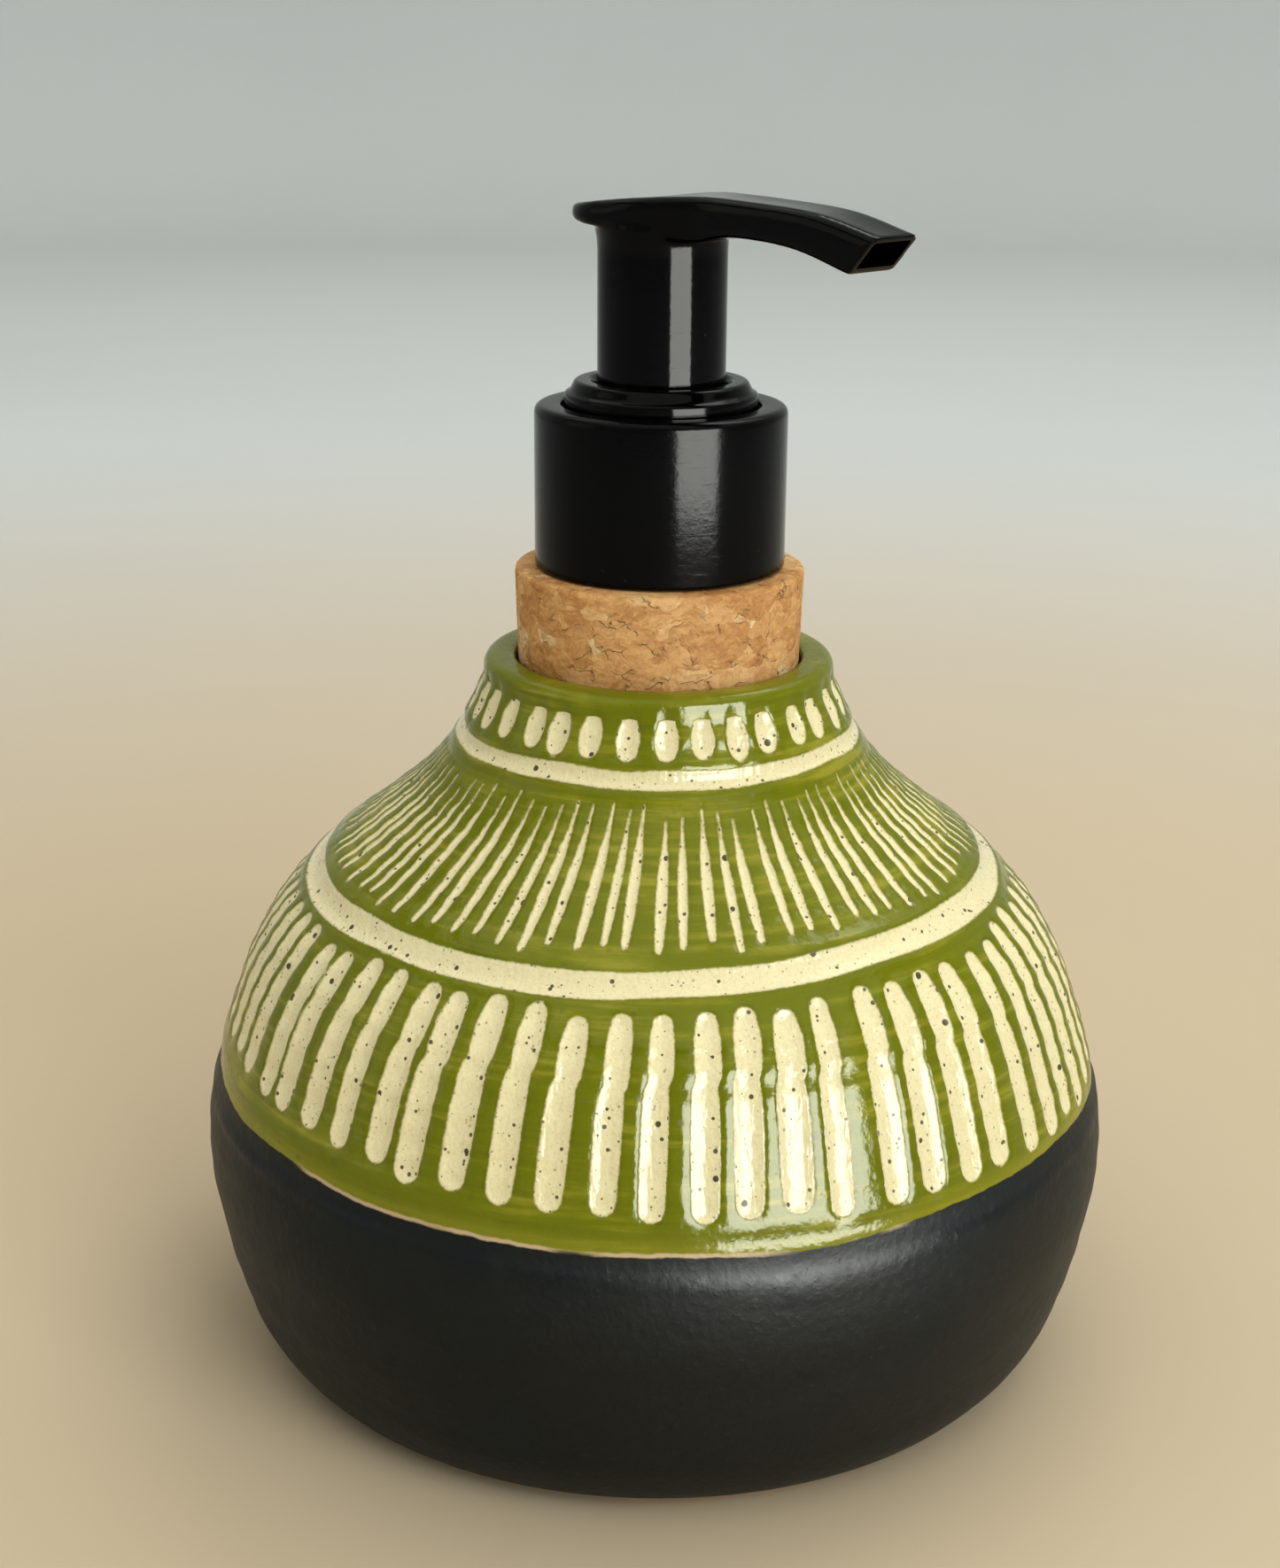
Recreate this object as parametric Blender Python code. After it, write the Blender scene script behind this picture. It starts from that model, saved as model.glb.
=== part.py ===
"""Soap pump dispenser: a carved stoneware bottle, closed by a cork stopper that carries a 28 mm lotion pump.

Units are metres and +Z is up. The origin is the centre of the bottle's foot. The spout points along +X.
Every piece is its own object. The plunger pieces hang from empties that stand on their joints' axis.
"""

import math

import bmesh
import bpy
from mathutils import Vector

MM = 0.001
GAP = 0.3 * MM

# Bottle: outer wall as (radius, height) guides that a smooth curve runs through.
BODY_OUTER = [
    (45.6, 0.6), (50.4, 3.2), (54.2, 11.0), (57.1, 26.5), (55.4, 38.0), (50.2, 52.5),
    (43.0, 62.0), (34.3, 69.0), (27.8, 75.0), (23.9, 81.0), (21.6, 86.0),
]
BODY_INNER = [
    (42.5, 6.6), (48.6, 12.5), (52.2, 26.5), (50.4, 38.0), (45.4, 51.0),
    (38.6, 60.0), (29.6, 67.2), (23.0, 72.2),
]
BODY_SEGMENTS = 48
LIP_HEIGHT = 88.4 * MM
LIP_OUTER = 19.8 * MM
LIP_INNER = 18.1 * MM
FOOT_OUTER = 45.0 * MM
FOOT_INNER = 37.5 * MM
FOOT_RECESS = 1.2 * MM
FLOOR_TOP = 5.0 * MM
FLOOR_RADIUS = 37.0 * MM

# Cork: a plain taper that wedges in the mouth.
CORK_BOTTOM = 78.0 * MM
CORK_TOP = 99.2 * MM
CORK_RADIUS_BOTTOM = 16.7 * MM
CORK_RADIUS_TOP = 17.4 * MM
CORK_EDGE = 0.7 * MM
CORK_SEGMENTS = 40
CORK_BORE = 8.0 * MM
MOUTH_BOTTOM = 77.0 * MM

# Closure: the 28 mm threaded neck in the cork, the collar that screws on it, and the seal under its roof.
COLLAR_RADIUS = 14.95 * MM
COLLAR_BORE = 13.9 * MM
COLLAR_TOP = 118.5 * MM
COLLAR_ROOF = 1.2 * MM
COLLAR_HOLE = 11.8 * MM
COLLAR_EDGE = 0.9 * MM
NECK_RADIUS = 12.7 * MM
NECK_BORE = 10.2 * MM
NECK_BOTTOM = 88.0 * MM
NECK_TOP = 114.3 * MM
THREAD_PITCH = 4.23 * MM
THREAD_TURNS = 1.5
THREAD_WIDTH = 1.5 * MM
THREAD_START = 104.5 * MM
NECK_CREST = 13.45 * MM
COLLAR_CREST = 13.1 * MM
THREAD_STEPS = 24
GASKET_THICKNESS = 1.0 * MM
GASKET_RADIUS = 12.8 * MM
CLOSURE_SEGMENTS = 40

# Housing: flange, wide well for the shroud, narrow pumping chamber, valve seat and tube socket.
FLANGE_RADIUS = 13.2 * MM
FLANGE_TOP = 117.0 * MM
FLANGE_THICKNESS = 1.1 * MM
RIM_TOP = 118.4 * MM
WELL_RADIUS = 8.6 * MM
WELL_WALL = 1.1 * MM
WELL_FLOOR = 101.5 * MM
CHAMBER_RADIUS = 5.6 * MM
CHAMBER_WALL = 1.0 * MM
CHAMBER_FLOOR = 71.5 * MM
BALL_ROOM_RADIUS = 3.2 * MM
SEAT_HOLE = 1.6 * MM
SEAT_HEIGHT = 64.6 * MM
SEAT_SLOPE = 0.75
SOCKET_RADIUS = 3.3 * MM
SOCKET_WALL = 1.1 * MM
SOCKET_TOP = 63.0 * MM
SOCKET_BOTTOM = 54.5 * MM
VENT_RADIUS = 0.6 * MM
VENT_HEIGHT = 106.0 * MM
PUMP_SEGMENTS = 32

# Lock ring: the stepped rim that snaps over the housing and guides the shroud.
RING_RADIUS = 11.4 * MM
RING_SHOULDER = 119.9 * MM
RING_TOP = 121.3 * MM
RING_TOP_RADIUS = 10.3 * MM
RING_GROOVE = 9.9 * MM
RING_BORE = 7.9 * MM

# Head: the shroud and the arched saddle with its spout, in one moulding.
SHROUD_RADIUS = 7.55 * MM
SHROUD_BORE = 6.4 * MM
SHROUD_BOTTOM = 116.4 * MM
SHROUD_ROOF = 135.6 * MM
BEAD_RADIUS = 8.3 * MM
BEAD_TOP = 118.3 * MM
HEAD_SOCKET_OUTER = 4.9 * MM
HEAD_SOCKET_BOTTOM = 126.0 * MM
HEAD_SOCKET_TOP = 137.9 * MM
HEAD_CHAMBER_RADIUS = 2.4 * MM
HEAD_CHAMBER_TOP = 140.6 * MM
SADDLE_CENTRE = -3.6
SADDLE_HALF_WIDTH = 7.9
SPOUT_HALF_WIDTH = 4.3
SPOUT_TIP_HALF_WIDTH = 3.9
SPOUT_START = 12.0
SADDLE_TOP = [
    (-11.5, 140.7), (-6.7, 141.4), (0.7, 142.3), (8.3, 142.8), (16.0, 142.7), (26.0, 142.1), (34.8, 140.2),
]
SADDLE_UNDER = [
    (-11.5, 139.9), (-6.7, 139.2), (0.7, 138.6), (8.3, 137.8), (14.0, 138.7), (23.0, 138.2), (31.2, 136.1),
]
SADDLE_CORNER = 0.9
SPOUT_WALL = 0.9
SPOUT_BORE_START = 0.5
HEAD_STATIONS = 4

# Stem, piston, balls and spring.
STEM_RADIUS = 3.6 * MM
STEM_BORE = 1.7 * MM
STEM_TOP = 137.6 * MM
STEM_BOTTOM = 94.6 * MM
STEM_FLANGE_RADIUS = 4.8 * MM
STEM_FLANGE = 1.2 * MM
OUTLET_SEAT = 132.0 * MM
OUTLET_HOLE = 1.3 * MM
OUTLET_ROOM_RADIUS = 2.6 * MM
PISTON_LENGTH = 3.8 * MM
PISTON_RADIUS = 5.3 * MM
PISTON_WAIST = 4.7 * MM
PISTON_LIP = 1.0 * MM
INLET_BALL_RADIUS = 2.38 * MM
OUTLET_BALL_RADIUS = 1.98 * MM
CAGE_RADIUS = 5.3 * MM
CAGE_THICKNESS = 1.7 * MM
CAGE_GUIDE_RADIUS = 3.4 * MM
CAGE_GUIDE_TOP = 77.0 * MM
CAGE_HOLE = 1.7 * MM
CAGE_GROOVE_WIDTH = 1.2 * MM
CAGE_GROOVE_DEPTH = 1.0 * MM
SPRING_RADIUS = 4.4 * MM
SPRING_WIRE = 0.4 * MM
SPRING_TURNS = 7
SPRING_STEPS = 16
SPRING_SIDES = 6
STEM_SEGMENTS = 24

# Dip tube.
TUBE_RADIUS = 3.0 * MM
TUBE_BORE = 2.2 * MM
TUBE_BOTTOM = 6.6 * MM
TUBE_CUT = 35.0
TUBE_SEGMENTS = 20

SMOOTH_ANGLE = math.radians(35.0)
CURVE_STEPS = 2


def clear_scene():
    for item in list(bpy.data.objects):
        bpy.data.objects.remove(item, do_unlink=True)


def finish(name, colour, roughness, metallic=0.0):
    """A plain Principled material."""
    made = bpy.data.materials.new(name)
    made.use_nodes = True
    shader = made.node_tree.nodes["Principled BSDF"]
    shader.inputs["Base Color"].default_value = (*colour, 1.0)
    shader.inputs["Roughness"].default_value = roughness
    shader.inputs["Metallic"].default_value = metallic
    return made


def smooth_curve(guides, steps=CURVE_STEPS):
    """Points of a Catmull-Rom curve through 2-D guides given in millimetres, as metres."""
    ends = [2 * Vector(guides[0]) - Vector(guides[1]), 2 * Vector(guides[-1]) - Vector(guides[-2])]
    line = [ends[0], *map(Vector, guides), ends[1]]
    points = []
    for a, b, c, d in zip(line, line[1:], line[2:], line[3:]):
        for step in range(steps):
            t = step / steps
            point = 2 * b + (c - a) * t + (2 * a - 5 * b + 4 * c - d) * t**2
            point += (3 * b - a - 3 * c + d) * t**3
            points.append(point * 0.5 * MM)
    points.append(line[-2] * MM)
    return [tuple(point) for point in points]


def new_object(name, mesh_builder, material, parent=None):
    """Turns a bmesh into a smooth-shaded object, with its mesh placed relative to its parent empty."""
    mesh = bpy.data.meshes.new(name)
    if parent is not None:
        bmesh.ops.translate(mesh_builder, vec=-parent.location, verts=mesh_builder.verts)
    mesh_builder.to_mesh(mesh)
    mesh_builder.free()
    made = bpy.data.objects.new(name, mesh)
    bpy.context.scene.collection.objects.link(made)
    made.parent = parent
    if material is None:
        made.hide_render = True
        made.display_type = "WIRE"
    else:
        mesh.materials.append(material)
    mesh.shade_smooth()
    mesh.set_sharp_from_angle(angle=SMOOTH_ANGLE)
    return made


def turn(outline, segments, closed=True):
    """A bmesh spun about Z from (radius, height) points: a closed section, or one that ends on the axis."""
    made = bmesh.new()
    points = [made.verts.new((radius, 0.0, height)) for radius, height in outline]
    edges = [made.edges.new(pair) for pair in zip(points, points[1:])]
    if closed:
        edges.append(made.edges.new((points[-1], points[0])))
    bmesh.ops.spin(
        made, geom=points + edges, cent=(0, 0, 0), axis=(0, 0, 1), angle=math.tau, steps=segments, use_merge=True
    )
    bmesh.ops.remove_doubles(made, verts=made.verts, dist=1e-6)
    outward(made)
    return made


def outward(mesh_builder):
    """Points every face out of its closed body."""
    bmesh.ops.recalc_face_normals(mesh_builder, faces=mesh_builder.faces)
    if mesh_builder.calc_volume(signed=True) < 0:
        bmesh.ops.reverse_faces(mesh_builder, faces=mesh_builder.faces)


def loft(rings):
    """A closed bmesh through rings of matching points, capped at both ends."""
    made = bmesh.new()
    rows = [[made.verts.new(point) for point in ring] for ring in rings]
    for row, following in zip(rows, rows[1:]):
        for index in range(len(row)):
            after = (index + 1) % len(row)
            made.faces.new((row[index], row[after], following[after], following[index]))
    made.faces.new(rows[0])
    made.faces.new(rows[-1])
    outward(made)
    return made


def boolean(target, other, operation):
    """Joins or cuts a piece with a helper object, with the exact solver."""
    modifier = target.modifiers.new(other.name, "BOOLEAN")
    modifier.operation = operation
    modifier.solver = "EXACT"
    modifier.object = other


def joint_empty(name, parent=None):
    """An empty on the pump's axis, at the height of the origin."""
    made = bpy.data.objects.new(name, None)
    bpy.context.scene.collection.objects.link(made)
    made.parent = parent
    return made


def cork_radius(height):
    share = (height - CORK_BOTTOM) / (CORK_TOP - CORK_BOTTOM)
    return CORK_RADIUS_BOTTOM + share * (CORK_RADIUS_TOP - CORK_RADIUS_BOTTOM)


def seated_ball_height(seat, hole, radius):
    """Height of a ball's centre over a conical seat, one gap clear of the cone."""
    slope = math.atan(SEAT_SLOPE)
    contact = radius * math.cos(slope)
    return seat + (contact - hole) / SEAT_SLOPE + radius * math.sin(slope) + GAP / math.sin(slope)


def make_bottle(material):
    mouth_top = LIP_HEIGHT - 1.4 * MM
    outline = [
        (0.0, FOOT_RECESS),
        (FOOT_INNER, FOOT_RECESS),
        (FOOT_INNER + FOOT_RECESS, 0.0),
        (FOOT_OUTER, 0.0),
        *smooth_curve(BODY_OUTER),
        (LIP_OUTER + 1.1 * MM, LIP_HEIGHT - 0.7 * MM),
        (LIP_OUTER, LIP_HEIGHT),
        (LIP_INNER, LIP_HEIGHT),
        (cork_radius(mouth_top) + GAP, mouth_top),
        (cork_radius(MOUTH_BOTTOM) + GAP, MOUTH_BOTTOM),
        *reversed(smooth_curve(BODY_INNER)),
        (FLOOR_RADIUS, FLOOR_TOP),
        (0.0, FLOOR_TOP),
    ]
    return new_object("ceramic_bottle", turn(outline, BODY_SEGMENTS, closed=False), material)


def make_cork(material):
    edge = CORK_EDGE
    step = NECK_BOTTOM - GAP
    bore = NECK_RADIUS + GAP
    outline = [
        (CORK_BORE, CORK_BOTTOM),
        (CORK_RADIUS_BOTTOM - edge, CORK_BOTTOM),
        (cork_radius(CORK_BOTTOM + edge), CORK_BOTTOM + edge),
        (cork_radius(CORK_TOP - edge), CORK_TOP - edge),
        (CORK_RADIUS_TOP - edge, CORK_TOP),
        (bore, CORK_TOP),
        (bore, step),
        (CORK_BORE, step),
    ]
    return new_object("cork_stopper", turn(outline, CORK_SEGMENTS), material)


def thread(name, root, crest, start):
    """One helical ridge, from its root inside a wall to its crest, fading out at both ends."""
    count = int(THREAD_STEPS * THREAD_TURNS)
    rings = []
    for step in range(count + 1):
        fade = min(1.0, (min(step, count - step) + 1) / 4)
        angle = math.tau * step / THREAD_STEPS
        height = start + THREAD_PITCH * step / THREAD_STEPS
        tip = root + (crest - root) * fade
        wide = THREAD_WIDTH / 2
        ring = []
        for radius, rise in ((root, -wide), (tip, -wide / 2), (tip, wide / 2), (root, wide)):
            ring.append((radius * math.cos(angle), radius * math.sin(angle), height + rise))
        rings.append(ring)
    return new_object(name, loft(rings), None)


def make_neck_insert(material):
    outline = [
        (NECK_BORE, NECK_BOTTOM),
        (NECK_RADIUS, NECK_BOTTOM),
        (NECK_RADIUS, NECK_TOP),
        (NECK_BORE, NECK_TOP),
    ]
    made = new_object("neck_insert", turn(outline, CLOSURE_SEGMENTS), material)
    boolean(made, thread("neck_thread", NECK_RADIUS - GAP, NECK_CREST, THREAD_START), "UNION")
    return made


def make_collar(material):
    bottom = CORK_TOP + GAP
    under_roof = COLLAR_TOP - COLLAR_ROOF
    outline = [
        (COLLAR_BORE, bottom),
        (COLLAR_RADIUS, bottom),
        (COLLAR_RADIUS, COLLAR_TOP - COLLAR_EDGE),
        (COLLAR_RADIUS - 0.3 * COLLAR_EDGE, COLLAR_TOP - 0.3 * COLLAR_EDGE),
        (COLLAR_RADIUS - COLLAR_EDGE, COLLAR_TOP),
        (COLLAR_HOLE, COLLAR_TOP),
        (COLLAR_HOLE, under_roof),
        (COLLAR_BORE, under_roof),
    ]
    made = new_object("closure_collar", turn(outline, CLOSURE_SEGMENTS), material)
    start = THREAD_START - THREAD_PITCH / 2
    boolean(made, thread("collar_thread", COLLAR_BORE + GAP, COLLAR_CREST, start), "UNION")
    return made


def make_gasket(material):
    bottom = NECK_TOP + GAP
    top = bottom + GASKET_THICKNESS
    outline = [(NECK_BORE, bottom), (GASKET_RADIUS, bottom), (GASKET_RADIUS, top), (NECK_BORE, top)]
    return new_object("gasket", turn(outline, PUMP_SEGMENTS), material)


def make_housing(material):
    well_outer = WELL_RADIUS + WELL_WALL
    chamber_outer = CHAMBER_RADIUS + CHAMBER_WALL
    socket_outer = SOCKET_RADIUS + SOCKET_WALL
    seat_top = SEAT_HEIGHT + (BALL_ROOM_RADIUS - SEAT_HOLE) / SEAT_SLOPE
    outline = [
        (SOCKET_RADIUS, SOCKET_BOTTOM),
        (socket_outer, SOCKET_BOTTOM),
        (socket_outer, CHAMBER_FLOOR - 3.0 * MM),
        (chamber_outer, CHAMBER_FLOOR - 1.0 * MM),
        (chamber_outer, WELL_FLOOR - 2.0 * MM),
        (well_outer, WELL_FLOOR),
        (well_outer, FLANGE_TOP - FLANGE_THICKNESS),
        (FLANGE_RADIUS, FLANGE_TOP - FLANGE_THICKNESS),
        (FLANGE_RADIUS, FLANGE_TOP),
        (well_outer, FLANGE_TOP),
        (well_outer, RIM_TOP),
        (WELL_RADIUS, RIM_TOP),
        (WELL_RADIUS, WELL_FLOOR),
        (CHAMBER_RADIUS, WELL_FLOOR),
        (CHAMBER_RADIUS, CHAMBER_FLOOR),
        (BALL_ROOM_RADIUS, CHAMBER_FLOOR),
        (BALL_ROOM_RADIUS, seat_top),
        (SEAT_HOLE, SEAT_HEIGHT),
        (SEAT_HOLE, SOCKET_TOP),
        (SOCKET_RADIUS, SOCKET_TOP),
    ]
    made = new_object("pump_housing", turn(outline, PUMP_SEGMENTS), material)
    cutter = bmesh.new()
    bmesh.ops.create_cone(
        cutter, cap_ends=True, segments=12, radius1=VENT_RADIUS, radius2=VENT_RADIUS, depth=4 * WELL_WALL
    )
    bmesh.ops.rotate(cutter, verts=cutter.verts, matrix=Vector((1, 0, 0)).to_track_quat("Z", "Y").to_matrix())
    bmesh.ops.translate(cutter, verts=cutter.verts, vec=(WELL_RADIUS + WELL_WALL / 2, 0, VENT_HEIGHT))
    boolean(made, new_object("vent_cutter", cutter, None), "DIFFERENCE")
    return made


def make_lock_ring(material):
    bottom = FLANGE_TOP + GAP
    groove_top = RIM_TOP + GAP
    outline = [
        (RING_GROOVE, bottom),
        (RING_RADIUS, bottom),
        (RING_RADIUS, RING_SHOULDER),
        (RING_TOP_RADIUS, RING_TOP),
        (RING_BORE + GAP, RING_TOP),
        (RING_BORE, RING_TOP - GAP),
        (RING_BORE, groove_top),
        (RING_GROOVE, groove_top),
    ]
    return new_object("lock_ring", turn(outline, PUMP_SEGMENTS), material)


def make_cage(material):
    bottom = CHAMBER_FLOOR + GAP
    top = bottom + CAGE_THICKNESS
    outline = [
        (CAGE_HOLE, bottom),
        (CAGE_RADIUS, bottom),
        (CAGE_RADIUS, top),
        (CAGE_GUIDE_RADIUS, top),
        (CAGE_GUIDE_RADIUS, CAGE_GUIDE_TOP),
        (CAGE_HOLE, CAGE_GUIDE_TOP),
    ]
    made = new_object("ball_cage", turn(outline, STEM_SEGMENTS), material)
    for name, length, width in (("groove_x", 6.0 * MM, CAGE_GROOVE_WIDTH), ("groove_y", CAGE_GROOVE_WIDTH, 6.0 * MM)):
        cutter = bmesh.new()
        bmesh.ops.create_cube(cutter, size=1.0)
        bmesh.ops.scale(cutter, vec=(length, width, 2 * CAGE_GROOVE_DEPTH), verts=cutter.verts)
        bmesh.ops.translate(cutter, vec=(0, 0, bottom), verts=cutter.verts)
        boolean(made, new_object(name, cutter, None), "DIFFERENCE")
    return made


def make_dip_tube(material):
    top = SOCKET_TOP - GAP
    outline = [(TUBE_BORE, TUBE_BOTTOM), (TUBE_RADIUS, TUBE_BOTTOM), (TUBE_RADIUS, top), (TUBE_BORE, top)]
    made = turn(outline, TUBE_SEGMENTS)
    slope = math.tan(math.radians(TUBE_CUT))
    for vertex in made.verts:
        if vertex.co.z < (TUBE_BOTTOM + top) / 2:
            vertex.co.z += (TUBE_RADIUS - vertex.co.x) * slope
    return new_object("dip_tube", made, material)


def make_spring(material, bottom, top):
    """A compression spring: a round wire on a helix with nearly closed end turns."""
    count = SPRING_TURNS * SPRING_STEPS
    low = bottom + SPRING_WIRE
    high = top - SPRING_WIRE
    end_rise = 2.2 * SPRING_WIRE
    rings = []
    for step in range(count + 1):
        turns = step / SPRING_STEPS
        inner = min(max((turns - 1) / (SPRING_TURNS - 2), 0.0), 1.0)
        rise = end_rise * (min(turns, 1.0) + max(turns - SPRING_TURNS + 1, 0.0))
        height = low + rise + (high - low - 2 * end_rise) * inner
        angle = math.tau * turns
        out = Vector((math.cos(angle), math.sin(angle), 0.0))
        ring = []
        for side in range(SPRING_SIDES):
            roll = math.tau * side / SPRING_SIDES
            point = out * (SPRING_RADIUS + SPRING_WIRE * math.cos(roll))
            ring.append((point.x, point.y, height + SPRING_WIRE * math.sin(roll)))
        rings.append(ring)
    return new_object("return_spring", loft(rings), material)


def make_ball(name, radius, height, material, parent):
    made = bmesh.new()
    bmesh.ops.create_uvsphere(made, u_segments=16, v_segments=10, radius=radius)
    bmesh.ops.translate(made, vec=(0, 0, height), verts=made.verts)
    return new_object(name, made, material, parent)


def make_stem(material, parent):
    room_bottom = OUTLET_SEAT + (OUTLET_ROOM_RADIUS - OUTLET_HOLE) / SEAT_SLOPE
    flange_top = STEM_BOTTOM + STEM_FLANGE
    rib = flange_top + PISTON_LENGTH + 2 * GAP
    outline = [
        (STEM_BORE, STEM_BOTTOM),
        (STEM_FLANGE_RADIUS, STEM_BOTTOM),
        (STEM_FLANGE_RADIUS, flange_top),
        (STEM_RADIUS, flange_top),
        (STEM_RADIUS, rib),
        (STEM_FLANGE_RADIUS, rib),
        (STEM_RADIUS, rib + STEM_FLANGE),
        (STEM_RADIUS, STEM_TOP),
        (OUTLET_ROOM_RADIUS, STEM_TOP),
        (OUTLET_ROOM_RADIUS, room_bottom),
        (OUTLET_HOLE, OUTLET_SEAT),
        (OUTLET_HOLE, OUTLET_SEAT - 1.0 * MM),
        (STEM_BORE, OUTLET_SEAT - 1.5 * MM),
    ]
    return new_object("piston_stem", turn(outline, STEM_SEGMENTS), material, parent)


def make_piston(material, parent):
    bottom = STEM_BOTTOM + STEM_FLANGE + GAP
    top = bottom + PISTON_LENGTH
    bore = STEM_RADIUS + GAP
    outline = [
        (bore, bottom),
        (PISTON_RADIUS, bottom),
        (PISTON_RADIUS, bottom + 0.5 * PISTON_LIP),
        (PISTON_WAIST, bottom + 1.5 * PISTON_LIP),
        (PISTON_WAIST, top - 1.5 * PISTON_LIP),
        (PISTON_RADIUS, top - 0.5 * PISTON_LIP),
        (PISTON_RADIUS, top),
        (bore, top),
    ]
    return new_object("piston", turn(outline, STEM_SEGMENTS), material, parent)


def head_half_width(along):
    """Plan of the head in millimetres: a round back, a full-width saddle and a narrow spout."""
    if along < SADDLE_CENTRE:
        share = (SADDLE_CENTRE - along) / (SADDLE_CENTRE - SADDLE_TOP[0][0] + 0.3)
        return SADDLE_HALF_WIDTH * math.sqrt(max(1.0 - share**2, 0.0))
    if along < SPOUT_START:
        share = max(along, 0.0) / SPOUT_START
        ease = share * share * (3 - 2 * share)
        return SADDLE_HALF_WIDTH + (SPOUT_HALF_WIDTH - SADDLE_HALF_WIDTH) * ease
    share = (along - SPOUT_START) / (SADDLE_TOP[-1][0] - SPOUT_START)
    return SPOUT_HALF_WIDTH + (SPOUT_TIP_HALF_WIDTH - SPOUT_HALF_WIDTH) * share


def head_sections(inset=0.0, start=-math.inf, overrun=0.0):
    """Rounded rectangles across the head from back to tip, drawn in by inset millimetres for its bore."""
    rings = []
    corner = max(SADDLE_CORNER - inset, 0.3) * MM
    tops = smooth_curve(SADDLE_TOP, HEAD_STATIONS)
    unders = smooth_curve(SADDLE_UNDER, HEAD_STATIONS)
    for top, under in zip(tops, unders):
        if top[0] < start * MM:
            continue
        half = (head_half_width(top[0] / MM) - inset) * MM
        half = min(half, (SPOUT_HALF_WIDTH - inset) * MM) if inset else half
        rings.append(section_ring(top, under, half, inset * MM, corner))
    if overrun:
        shift = Vector((overrun, 0.0, -0.25 * overrun)) * MM
        rings.append([Vector(point) + shift for point in rings[-1]])
    return rings


def section_ring(top, under, half, inset, corner):
    """Points of one rounded rectangle that leans from its under point to its top point."""
    top = Vector((top[0], 0.0, top[1]))
    under = Vector((under[0], 0.0, under[1]))
    up = (top - under).normalized()
    top -= up * inset
    under += up * inset
    corner = min(corner, half * 0.45, (top - under).length * 0.42)
    ring = []
    for base, sign, first in ((top, 1, 0), (top, -1, 90), (under, -1, 180), (under, 1, 270)):
        inward = -1 if base is top else 1
        centre = base + up * inward * corner + Vector((0.0, sign * (half - corner), 0.0))
        for turned in (0, 45, 90):
            angle = math.radians(first + turned)
            ring.append(centre + corner * (Vector((0.0, math.cos(angle), 0.0)) + up * math.sin(angle)))
    return ring


def make_head(material, parent):
    made = new_object("actuator_head", loft(head_sections()), material, parent)
    shroud = [
        (0.0, SHROUD_BOTTOM),
        (SHROUD_RADIUS, SHROUD_BOTTOM),
        (BEAD_RADIUS, SHROUD_BOTTOM + GAP),
        (BEAD_RADIUS, BEAD_TOP - GAP),
        (SHROUD_RADIUS, BEAD_TOP),
        (SHROUD_RADIUS, HEAD_SOCKET_TOP + 2.0 * MM),
        (0.0, HEAD_SOCKET_TOP + 2.0 * MM),
    ]
    below = SHROUD_BOTTOM - 1.0 * MM
    annulus = [
        (0.0, HEAD_SOCKET_BOTTOM),
        (HEAD_SOCKET_OUTER, HEAD_SOCKET_BOTTOM),
        (HEAD_SOCKET_OUTER, SHROUD_ROOF),
        (SHROUD_BORE, SHROUD_ROOF),
        (SHROUD_BORE, below),
        (0.0, below),
    ]
    bore = [
        (0.0, HEAD_SOCKET_BOTTOM - 1.0 * MM),
        (STEM_RADIUS + GAP, HEAD_SOCKET_BOTTOM - 1.0 * MM),
        (STEM_RADIUS + GAP, HEAD_SOCKET_TOP),
        (HEAD_CHAMBER_RADIUS, HEAD_SOCKET_TOP),
        (HEAD_CHAMBER_RADIUS, HEAD_CHAMBER_TOP),
        (0.0, HEAD_CHAMBER_TOP),
    ]
    boolean(made, new_object("shroud", turn(shroud, PUMP_SEGMENTS, closed=False), None), "UNION")
    boolean(made, new_object("shroud_hollow", turn(annulus, PUMP_SEGMENTS, closed=False), None), "DIFFERENCE")
    boolean(made, new_object("stem_bore", turn(bore, STEM_SEGMENTS, closed=False), None), "DIFFERENCE")
    channel = loft(head_sections(SPOUT_WALL, SPOUT_BORE_START, overrun=2.0))
    boolean(made, new_object("spout_bore", channel, None), "DIFFERENCE")
    return made


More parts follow.
